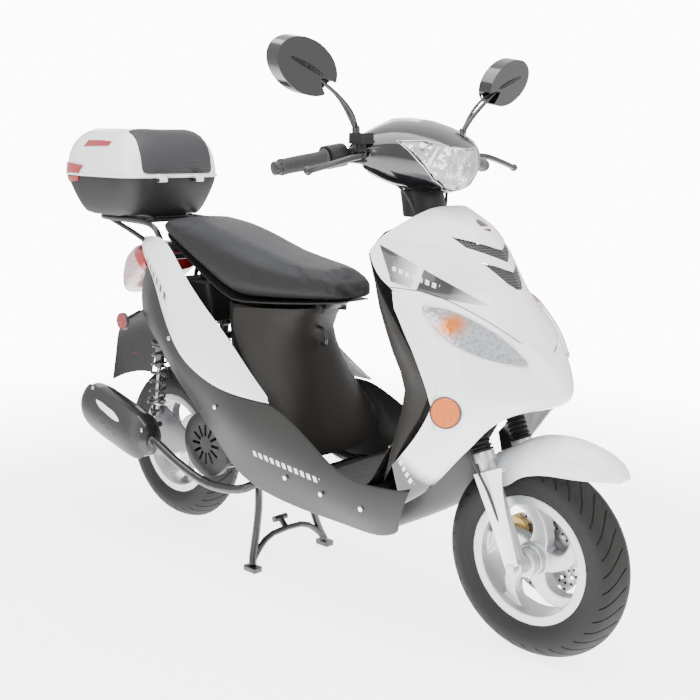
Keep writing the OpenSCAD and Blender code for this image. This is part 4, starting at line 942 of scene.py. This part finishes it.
def seatFinish():
    # vinyl: a fine leather grain, a paler top and darker sides
    f = Finish("seatVinyl")
    slow = f.noise(5.0, 3.0)
    grain = f.cells(900, "DISTANCE_TO_EDGE")
    fine = f.noise(1600.0, 2.0)
    upward = Wire(f, f.node("NewGeometry").socket.node.outputs["Normal"])
    facing = Wire(f, f.node("SeparateXYZ", sockets={0: upward}).socket.node.outputs[2])
    top = ((facing - 0.35) / 0.5).clamped()
    colour = f.mixed(top, (0.017, 0.017, 0.018), (0.033, 0.034, 0.037))
    colour = f.mixed(slow * 0.25, colour, (0.014, 0.0135, 0.0135))
    creases = grain.below(0.08, 0.06)
    marks = bars(f, (-536, 834), (-446, 762), 0.0075, 7, 0.45, 0.58)
    side = f.y.math("ABSOLUTE").above(0.06)
    colour = f.mixed(marks * side, colour, (0.8, 0.8, 0.8))
    height = fine * 0.3 - creases * 0.7
    return f.close(colour, 0.46 + slow * 0.14, f.bump(height, 0.00016, 0.6), IOR=1.3)


seat = cushion("seat_cushion")


def grooved(piece, lines, width=0.0045, depth=0.0014):
    # presses narrow channels into a cushion along lines given in mm
    paths = [[place(p) for p in curveThrough(line, 14)] for line in lines]
    for vertex in piece.data.vertices:
        near = min((vertex.co - p).length for path in paths for p in path)
        if near < width:
            fall = 0.5 + 0.5 * math.cos(math.pi * near / width)
            vertex.co -= vertex.normal * depth * fall
    return piece


seamLines = [[(-264, side * 138, 690), (-290, side * 136, 716), (-318, side * 134, 748),
              (-352, side * 130, 782), (-400, side * 122, 806), (-470, side * 108, 830),
              (-540, side * 88, 846)] for side in (-1, 1)]
frontSeams = [[(22, side * 96, 700), (24, side * 92, 722), (20, side * 84, 742), (2, side * 70, 762),
               (-30, side * 64, 776)] for side in (-1, 1)]
grooved(seat, seamLines + frontSeams)
standIn(seat, "seat_cushion", seatFinish())
print("seat ready")

# ---- Cowl and headlamp ----

def onSurface(piece, spot, heading):
    # the place in mm where a line from a spot meets a piece, or None
    found, where, normal, _ = piece.ray_cast(place(spot), Vector(heading).normalized())
    return Vector((where.x * 1000 - shift, where.y * 1000, where.z * 1000)) if found else None


def lensFinish(name, tint, rough=0.03):
    f = Finish(name)
    slow = f.noise(12.0, 2.0)
    return f.close(f.mixed(slow, tint, tuple(min(1, c * 1.04) for c in tint)), rough + slow * 0.01,
                   **{"Transmission Weight": 1.0, "IOR": 1.18, "Coat Weight": 0.6, "Coat Roughness": 0.02})


def mirrorFinish(name, colour, rough, scale, depth):
    # bright plated plastic moulded in flat facets
    f = Finish(name)
    facets = f.cells(scale, out="Distance")
    slow = f.noise(20.0, 2.0)
    shade = f.mixed(slow, tuple(c * 0.8 for c in colour), colour)
    return f.close(shade, rough + slow * 0.08, f.bump(facets, depth, 0.8), Metallic=0.85)


clearLens = lensFinish("clearLens", (0.97, 0.98, 1.0))
plated = mirrorFinish("plated", (0.86, 0.87, 0.89), 0.10, 70, 0.0012)
glow = plain("bulbGlass", (0.95, 0.95, 0.93), 0.1, coat=1.0, grain=50, depth=0.0,
             **{"Emission Color": (1.0, 0.98, 0.94), "Emission Strength": 0.9})
orangeBulb = plain("orangeBulb", (0.95, 0.33, 0.03), 0.15, coat=1.0, grain=50, depth=0.0)

cowlSkin = rounded(copied("headlamp_cowl", "headlamp_cowl.skin"), 0.0011, 1)
lens = rounded(copied("headlamp", "headlamp.lens"), 0.0005, 1)
lampHalf = [(0, 968), (34, 974), (70, 996), (104, 1034), (128, 1072), (84, 1074), (40, 1062), (0, 1058)]
lampLine = lampHalf + [(-y, z) for y, z in lampHalf[-2:0:-1]]


def lampRing(share, sink):
    # the lamp's outline shrunk towards its middle, some way behind the lens
    ring = []
    dense = []
    for k, (y, z) in enumerate(lampLine):
        y2, z2 = lampLine[(k + 1) % len(lampLine)]
        dense += [(y + (y2 - y) * t / 4, z + (z2 - z) * t / 4) for t in range(4)]
    for y, z in dense:
        y, z = y * share, 1036 + (z - 1036) * share
        hit = onSurface(lens, (480, y, z), (-1, 0, 0))
        ring.append(Vector(((hit.x if hit else 300) - sink, y, z)))
    return ring


housing = ringed("headlamp_housing", [lampRing(0.95, 5), lampRing(0.80, 14), lampRing(0.6, 24),
                                      lampRing(0.35, 30), lampRing(0.1, 32)])
edit(housing, lambda: bpy.ops.mesh.quads_convert_to_tris())
added(shaded(housing, 8), "headlamp", plated, "chrome")
bowls = [((352, 0, 1020), (0.96, 0, 0.12), 33, 24), ((312, -66, 1046), (0.86, -0.45, 0.15), 25, 20),
         ((312, 66, 1046), (0.86, 0.45, 0.15), 25, 20)]
for number, (spot, heading, radius, depth) in enumerate(bowls):
    profile = [(radius, 0), (radius - 1.5, 0.8)]
    profile += [(radius * math.cos(a) * 0.96, -depth * math.sin(a)) for a in (0.1, 0.35, 0.65, 1.0, 1.35)]
    profile += [(0, -depth), (0, -depth - 2), (radius * 0.9, -depth * 0.5), (radius, 0)]
    bowl = turned("lamp_bowl", profile, spot, heading, 16)
    added(shaded(bowl, 10), "headlamp", chrome, "chrome")
    bulb = turned("lamp_bulb", [(0, -depth + 2), (6, -depth + 2), (6, -6), (5.2, -1), (3, 2), (0, 3)],
                  spot, heading, 20)
    added(bulb, "headlamp", glow if number == 0 else orangeBulb, "clear_lens")
for y in (-33, 33):
    wall = [onSurface(lens, (480, y + (z - 1030) * 0.12 * (1 if y > 0 else -1), z), (-1, 0, 0))
            for z in range(992, 1064, 6)]
    wall = [p - Vector((4, 0, 0)) for p in wall if p]
    if len(wall) > 2:
        back = [p - Vector((22, 0, 0)) for p in wall]
        divider = ringed("lamp_divider", [wall, back], closed=False)
        modify(divider, "SOLIDIFY", thickness=0.0014, offset=0)
        added(shaded(divider, 30), "headlamp", plated, "chrome")
edge = [onSurface(cowlSkin, (480, p.y * 1.012, 1036 + (p.z - 1036) * 1.02), (-1, 0, 0))
        for p in lampRing(1.0, -0.2)]
edge = [p for p in edge if p and p.x > 180]
brightRim = plain("lampRim", (0.55, 0.56, 0.58), 0.15, metal=0.5, coat=1.0, grain=200, depth=0.00001)
added(tube("lamp_rim", edge, 1.5, 1, 2, closed=True), "headlamp_cowl", brightRim, "chrome")
standIn(lens, "headlamp", clearLens)
standIn(cowlSkin, "headlamp_cowl", gloss)
standIn(rounded(copied("stem_cover", "stem_cover.skin"), 0.001, 1), "stem_cover", darkPlastic)
print("headlamp ready")

# ---- Mirrors ----

mirrorGlass = plain("mirrorGlass", (0.9, 0.91, 0.92), 0.015, metal=1.0, grain=40, depth=0.0, spread=0.01)
for side, node in ((-1, "mirror_right"), (1, "mirror_left")):
    head = copied(node, node + ".shell")
    rounded(head, 0.0016, 1)
    low = min(v.co.x for v in head.data.vertices) * 1000 - shift
    spot = Vector((low - 12, side * 338, 1214))
    glass = patch("mirror_glass", [spot + Vector((0, -side * 62, -38)), spot + Vector((0, side * 62, -26)),
                                   spot + Vector((0, side * 62, 40)), spot + Vector((0, -side * 62, 30))],
                  head, 0.1, 0.6, 24, 24, 1.0)
    blade = tube("mirror_blade", [(262, side * 300, 1192), (268, side * 338, 1206), (262, side * 384, 1222)],
                 5, 6, 2, lambda t: 0.4 + 0.6 * math.sin(math.pi * t))
    wrapped(blade, head, 0.0012)
    added(blade, node, gloss, "gloss_black")
    added(glass, node, mirrorGlass, "chrome")
    standIn(head, node, gloss)
stems = []
for side in (-1, 1):
    foot = turned("stem_foot", [(0, -4), (9.5, -4), (9.5, 1), (8.4, 3), (8.4, 40), (7.4, 44), (0, 44)],
                  (216, side * 178, 1058), (0, side * 0.1, 1), 28)
    nut = bolt("stem_nut", (216, side * 178, 1056), (0, 0, 1), 9, 6)
    front = tube("stem_front", [(217, side * 182, 1096), (224, side * 206, 1128), (226, side * 244, 1158),
                                (222, side * 300, 1192)], 5.6, 8, 3, lambda t: 1 - 0.35 * t)
    behind = tube("stem_back", [(214, side * 184, 1098), (214, side * 218, 1142), (216, side * 256, 1172),
                                (221, side * 302, 1194)], 4.2, 8, 3, lambda t: 1 - 0.35 * t)
    ball = turned("stem_ball", [(0, -8), (4, -7), (7, -4), (8, 0), (7, 4), (4, 7), (0, 8)],
                  (222, side * 304, 1193), (0, 1, 0), 24)
    stems += [foot, nut, front, behind, ball]
standIn(join("mirror_stems.rods", stems), "mirror_stems", blackPaint)
print("mirrors ready")

# ---- Soft parts ----

for side in (-1, 1):
    folds = []
    low, high, radius = 245.0, 347.6, 23.0
    pitch = (high - low - 10) / 9
    folds += [(15.5, 0), (radius + 1, 0), (radius + 1, 4)]
    for k in range(9):
        for share, size in ((0.0, radius - 5), (0.16, radius - 4.4), (0.38, radius - 0.8), (0.5, radius),
                            (0.62, radius - 0.8), (0.84, radius - 4.4)):
            folds.append((size, 5 + (k + share) * pitch))
    folds += [(radius - 5, high - low - 5), (radius - 3, high - low - 4), (radius - 3, high - low),
              (15.5, high - low), (15.5, 0)]
    boot = turned("fork_boot", folds, onLeg(low, side), upFork, 40, 60)
    finished(boot, "steering", "rubber", rubber, "fork_boots")
    tuple(place(onLeg(high, side)))
    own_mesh(boot)
springBlack = plain("springBlack", (0.016, 0.016, 0.017), 0.3, coat=0.4, grain=400, depth=0.00004)
shockLow, shockHigh = Vector((-575, 110, 335)), Vector((-545, 110, 560))
shockUp = (shockHigh - shockLow).normalized()
for side in (-1, 1):
    foot = Vector((shockLow.x, side * 110, shockLow.z))
    first, last, turnsUp = 30.3, 227 - 34.3, 7
    across = Vector((0, 1, 0))
    sideways = shockUp.cross(across)
    wire = []
    for k in range(turnsUp * 20 + 1):
        t = k / (turnsUp * 20)
        eased = min(max((t - 0.07) / 0.86, 0), 1)
        a = t * turnsUp * math.tau
        wire.append(foot + shockUp * (first + 4.6 + (last - first - 9.2) * eased)
                    + (across * math.cos(a) + sideways * math.sin(a)) * 20)
    coil = tube("shock_coil", wire, 3.3, 1, 3)
    finished(coil, "shock_bodies", "black_paint", springBlack, "shock_springs")
    tuple(place(foot + shockUp * last))
    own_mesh(coil)


def hoseFinish():
    f = Finish("hoseRubber")
    slow, fine = f.noise(30.0, 3.0), f.noise(1500.0, 2.0)
    return f.close(f.mixed(slow, (0.014, 0.014, 0.014), (0.024, 0.024, 0.024)), 0.4 + slow * 0.15,
                   f.bump(fine, 0.0001, 0.5))


hose = hoseFinish()
brakeHose = tube("brake_hose", [(521, 62, 300), (506, 96, 350), (486, 110, 420), (462, 108, 490),
                                (444, 106, 540), (426, 98, 585)], 3.4, 10, 3)
speedCable = tube("speed_cable", [(584, -60, 232), (560, -94, 300), (528, -104, 372), (486, -110, 440),
                                  (462, -108, 490), (444, -106, 540), (426, -98, 585)], 3.0, 10, 3)
for line in (brakeHose, speedCable):
    finished(line, "fork", "rubber", hose, "fork_hoses")
boot = turned("cable_boot", [(0, -16), (4, -16), (6.5, -10), (8, -6), (8, 8), (6, 12), (3.2, 20), (0, 20)],
              (578, -68, 244), (-0.32, -0.44, 0.9), 24)
added(boot, "fork_hoses", rubber)
cables = []
for side in (-1, 1):
    cables.append(tube("cable", [(206, side * 128, 1030), (236, side * 104, 1000), (262, side * 70, 960),
                                 (280, side * 46, 900), (300, side * 42, 840), (330, side * 44, 760),
                                 (372, side * 62, 670), (404, side * 86, 616), (424, side * 97, 590)],
                       3.4, 10, 3))
standIn(join("control_cables.sleeves", cables), "control_cables", hose)


def matFinish():
    # a ribbed rubber mat, its ribs curving across the floor
    f = Finish("matRubber")
    slow, fine = f.noise(9.0, 3.0), f.noise(900.0, 2.0, 0.6)
    bow = f.x + f.y * f.y * 1.2
    ribs = (bow * (math.tau / 0.012)).math("SINE") * 0.5 + 0.5
    side = f.y.math("ABSOLUTE").below(0.135, 0.003)
    colour = f.mixed(slow, (0.026, 0.025, 0.024), (0.036, 0.034, 0.032))
    return f.close(colour, 0.55 + slow * 0.15, f.bump(ribs * side + fine * 0.1, 0.0022, 0.9))


standIn(rounded(copied("floor_mat", "floor_mat.sheet"), 0.0012, 1), "floor_mat", matFinish())
print("soft parts ready")

# ---- Lamps and reflectors ----

def facetFinish(name, colour, bulb=None, bulbAt=None, scale=150.0, metal=0.55):
    # a clear or coloured lens over moulded facets, with a glow round its bulb
    f = Finish(name)
    facets = f.cells(scale, out="Distance")
    slow = f.noise(18.0, 2.0)
    shade = f.mixed(facets.below(0.35, 0.3), colour, tuple(c * 0.55 for c in colour))
    if bulbAt:
        spot = place(bulbAt)
        dx, dz = f.x - spot.x, f.z - spot.z
        near = 1 - (((dx * dx + dz * dz).math("SQRT") - 0.010) / 0.022).clamped()
        shade = f.mixed(near, shade, bulb)
    return f.close(shade, 0.12 + slow * 0.06, f.bump(facets, 0.0009, 0.7), Metallic=metal,
                   **{"Coat Weight": 1.0, "Coat Roughness": 0.02})


indicators = rounded(copied("front_indicators", "front_indicators.lens"), 0.0006, 1)
modify(indicators, "DISPLACE", strength=0.0028, mid_level=0.0)
standIn(indicators, "front_indicators",
        facetFinish("indicatorLens", (0.50, 0.52, 0.56), (0.75, 0.20, 0.02), (466, 0, 714), 120))
indicatorEdge = [(404, -175, 746), (450, -152, 742), (504, -122, 717), (553, -98, 684), (592, -74, 642),
                 (548, -119, 646), (492, -158, 669), (442, -177, 702), (408, -178, 737)]
for side in (1, -1):
    trim = tube("indicator_rim", [(x + 2, (y - 1.5) * side, z) for x, y, z in indicatorEdge], 1.5, 6, 2,
                closed=True)
    wrapped(trim, indicators, 0.0006)
    added(trim, "front_indicators", brightRim, "chrome")


def tailFinish():
    f = Finish("tailLens")
    facets = f.cells(190, out="Distance")
    slow = f.noise(14.0, 2.0)
    u, v, _ = along(f, (-640, 770), (-770, 660))
    clear = f.mixed(facets.below(0.4, 0.3), (0.62, 0.46, 0.47), (0.42, 0.14, 0.16))
    shade = f.mixed(u.below(0.046, 0.001), clear, (0.32, 0.003, 0.005))
    shade = f.mixed((f.z + f.x * 0.4).above(0.776 - 0.690 * 0.4 + 0.4 * shift / 1000 + 0.004, 0.001), shade,
                    (0.02, 0.02, 0.02))
    return f.close(shade, 0.12 + slow * 0.05, f.bump(facets, 0.0008, 0.7), Metallic=0.2,
                   **{"Coat Weight": 1.0, "Coat Roughness": 0.02})


standIn(rounded(copied("tail_lamp", "tail_lamp.lens"), 0.0012, 1), "tail_lamp", tailFinish())
amberFacets = facetFinish("amberFacets", (0.70, 0.14, 0.003), scale=330, metal=0.15)
redFacets = facetFinish("redFacets", (0.30, 0.003, 0.005), scale=330, metal=0.15)
darkRim = plain("reflectorRim", (0.05, 0.05, 0.052), 0.3, coat=0.5, grain=500)


def reflector(name, centre, axis, radius, depth, look, slot):
    # a faceted disc in a dark rim
    disc = turned(name, [(0, -depth), (radius - 2.4, -depth), (radius - 2.4, 0), (radius - 3.2, 0.8),
                         (0, 1.5)], centre, axis, 48)
    ring = turned(name + ".rim", [(radius - 2.5, -depth), (radius, -depth), (radius, 0.4),
                                  (radius - 0.7, 1.4), (radius - 2.0, 1.4), (radius - 2.5, 0.2),
                                  (radius - 2.5, -depth)], centre, axis, 48)
    added(disc, "reflectors", look, slot)
    added(ring, "reflectors", darkRim, "black_plastic")
    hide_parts("reflectors")


for side in (-1, 1):
    reflector("side_reflector", (476, side * 185, 539.9), (0.35, side * 0.93, 0.1), 33, 9, amberFacets,
              "amber_lens")
reflector("rear_side_reflector", (-714, -118, 566), (0, -1, 0), 24, 8, redFacets, "red_lens")
reflector("rear_reflector", (-824, 0, 462), (-0.98, 0, -0.18), 20, 7, redFacets, "red_lens")
seamPath = [(326, -190, 778), (356, -171, 775), (388, -153, 771), (436, -132, 756), (485, -112, 734),
            (532, -91, 708), (560, -73, 687), (582, -57, 670)]
seamDark = plain("seamShadow", (0.02, 0.02, 0.022), 0.7, grain=300)
for side in (1, -1):
    seam = tube("cover_seam", [(x, y * side, z) for x, y, z in seamPath], 1.1, 8, 2)
    wrapped(seam, coverSkin, 0.0002)
    added(seam, "front_cover", seamDark, "black_plastic")
badge = patch("cover_badge", [(402, -13, 919), (402, 13, 919), (434, 13, 890), (434, -13, 890)], coverSkin,
              0.1, 1.4, 20, 20, 1.0)


def badgeFinish():
    # a small oval badge: a dark red field, a pale band across it and a metal rim
    f = Finish("badgeEnamel")
    slow = f.noise(60.0, 2.0)
    _, v, _ = along(f, (405, 903), (440, 895))
    band = v.above(-0.0016) * v.below(0.0016)
    dy = f.y / 0.0125
    spread = (f.z - 0.9005) / 0.0130
    rimmed = (dy * dy + spread * spread).above(1.0, 0.08)
    colour = f.mixed(band, (0.06, 0.006, 0.006), (0.70, 0.69, 0.67))
    return f.close(f.mixed(rimmed, colour, (0.25, 0.22, 0.17)), 0.2 + slow * 0.06, **{"Coat Weight": 1.0})


added(badge, "front_cover", badgeFinish(), "red_lens")
print("lamps ready")

# ---- Engine, exhaust and metalwork ----

castGrey = plain("castGrey", (0.20, 0.20, 0.21), 0.42, metal=0.7, grain=600, depth=0.0002, spread=0.14)
gold = plain("anodisedGold", (0.62, 0.43, 0.16), 0.3, metal=0.9, grain=700, depth=0.0001)
standIn(cast("engine_case", 0.003, 3, "engine_case.casting"), "engine_case", castGrey)
standIn(flatParts("fork_sliders", 0.0012, name="fork_sliders.casting"), "fork_sliders", silver)
standIn(flatParts("brake_caliper", 0.0014, name="brake_caliper.casting"), "brake_caliper", gold)
for k in range(7):
    a = math.radians(20 + k * 50)
    added(bolt("case_bolt", (-330 + 60 * math.cos(a), 139, 262 + 60 * math.sin(a)), (0, 1, 0), 4.5, 4),
          "engine_case", steel, "steel")


def discFinish():
    # a brushed disc with rings of drilled holes, each hole painted near-black as painted shade
    f = Finish("discSteel")
    middle = place(frontAxle)
    dx, dz = f.x - middle.x, f.z - middle.z
    r = (dx * dx + dz * dz).math("SQRT")
    turn = dz.math("ARCTAN2", dx)
    part = (turn * (24 / math.tau) + (r * 100).math("FLOOR") * 0.5).math("FRACT") - 0.5
    ring = ((r * 100).math("FRACT") - 0.5) * 0.010
    near = ((part * r * (math.tau / 24)) * (part * r * (math.tau / 24)) + ring * ring).math("SQRT")
    hole = near.below(0.0028, 0.0003) * r.above(0.062, 0.001)
    lines = f.noise(500.0, 2.0)
    # painted shade: each drilled hole is coloured near-black where it would lie in shade
    return f.close(f.mixed(hole, (0.55, 0.55, 0.56), (0.02, 0.02, 0.02)), 0.25 + lines * 0.1,
                   f.bump(1 - hole, 0.0015, 0.8), Metallic=0.9)


standIn(flatParts("front_disc", 0.0004, name="front_disc.plate"), "front_disc", discFinish())


def guardFinish():
    # matte paint with slots pressed into the upper and lower bevels, the slots painted darker as painted
    # shade
    f = Finish("guardPaint")
    slow, fine = f.noise(9.0, 3.0), f.noise(900.0, 2.0, 0.6)
    upper = bars(f, (-680, 427), (-545, 372), 0.0055, 5, 0.8, 0.62) * outer(f, 0.1)
    lower = bars(f, (-640, 322), (-560, 290), 0.005, 3, -0.8, 0.6) * outer(f, 0.1)
    slot = (upper + lower).clamped()
    colour = f.mixed(slow, (0.016, 0.016, 0.0165), (0.024, 0.024, 0.0245))
    # painted shade: the pressed slots are coloured darker than the paint around them
    return f.close(f.mixed(slot, colour, (0.008, 0.008, 0.008)), 0.42 + slow * 0.1,
                   f.bump(fine * 0.06 - slot, 0.002, 0.9))


guardSkin = bpy.data.objects["muffler_guard.skin"]
guardSkin.data.materials.clear()
guardSkin.data.materials.append(guardFinish())
label = patch("guard_label", [(-676, -250, 366), (-566, -250, 324), (-562, -250, 346), (-672, -250, 392)],
              guardSkin, 0.1, 0.4, 20, 12, 1.0)
added(label, "muffler_guard", whitePlain, "white_plastic")
for spot in ((-712, -219, 392), (-504, -211, 314)):
    hit = onSurface(guardSkin, (spot[0], -320, spot[2]), (0, 1, 0)) or Vector(spot)
    added(bolt("guard_screw", hit, (0, -1, 0.12), 5, 2.4, False), "muffler_guard", chrome, "chrome")
standIn(cast("exhaust", 0.0026, 3, "exhaust.pipe"), "exhaust", blackPaint)
for node, look in (("centre_stand", blackPaint), ("kick_lever", blackPaint), ("cooling_fan", darkPlastic),
                   ("shock_upper", blackPaint), ("shock_lower", steel), ("handlebar", blackPaint),
                   ("brake_lever_right", blackPaint), ("brake_lever_left", blackPaint),
                   ("switchgear", darkPlastic), ("instrument_panel", darkPlastic),
                   ("ignition_key", steel), ("starter_button", amberLens), ("horn_button", redLens),
                   ("indicator_switch", greyPlastic), ("steering_column", steel), ("body_screws", chrome)):
    standIn(flatParts(node, 0.0005, name=node + ".part"), node, look)


def gripFinish(name, side):
    f = Finish(name)
    slow, fine = f.noise(20.0, 3.0), f.noise(1200.0, 2.0)
    ribs = (f.y * side * (math.tau / 0.0042)).math("SINE") * 0.5 + 0.5
    return f.close(f.mixed(slow, (0.022, 0.022, 0.022), (0.034, 0.034, 0.034)), 0.5 + slow * 0.15,
                   f.bump(ribs + fine * 0.1, 0.0009, 0.9))


for side, node in ((-1, "throttle_grip"), (1, "handlebar")):
    knee, end = Vector((182, side * 226, 1037)), Vector((158, side * 342, 1017))
    heading = (end - knee).normalized()
    start = knee + heading * ((end - knee).length * 0.08)
    profile = [(11.4, 0), (20, 0), (20.5, 1.5), (20, 4), (16.6, 6), (16.2, 30), (16.8, 60), (16.2, 96),
               (17, 104), (17.2, 109), (16, 112), (11.4, 112), (11.4, 0)]
    grip = turned("grip", profile, start, heading, 40, 50)
    if side < 0:
        standIn(grip, node, gripFinish("gripRubber", side))
    else:
        added(grip, node, gripFinish("gripRubberLeft", side), "rubber")
    weight = turned("bar_weight", [(0, 110), (12, 110), (15, 111.2), (15, 115), (12.5, 116.6), (0, 117)],
                    start, heading, 32)
    added(weight, "handlebar", blackPaint)
hook = tube("bag_hook", [(-62, 0, 622), (-50, 0, 618), (-38, 0, 600), (-42, 0, 582), (-54, 0, 582)], 4, 6, 3)
added(hook, "seat_tower", blackPaint, "black_paint")
print("metalwork ready")

# ---- CAD nodes that stay, with their finishes ----

finishOf = {
    "white_plastic": whitePlain, "gloss_black": gloss, "black_plastic": darkPlastic,
    "grey_plastic": greyPlastic, "black_paint": blackPaint, "silver_cast": silver, "steel": steel,
    "chrome": chrome, "clear_lens": chrome, "amber_lens": amberLens, "red_lens": redLens,
    "rubber": rubber, "tyre": rubber, "vinyl": rubber,
}
for name, node in nodes.items():
    if not node.hide_render:
        node.data.materials.clear()
        node.data.materials.append(finishOf[slotOf[name]])

print("everything in place")
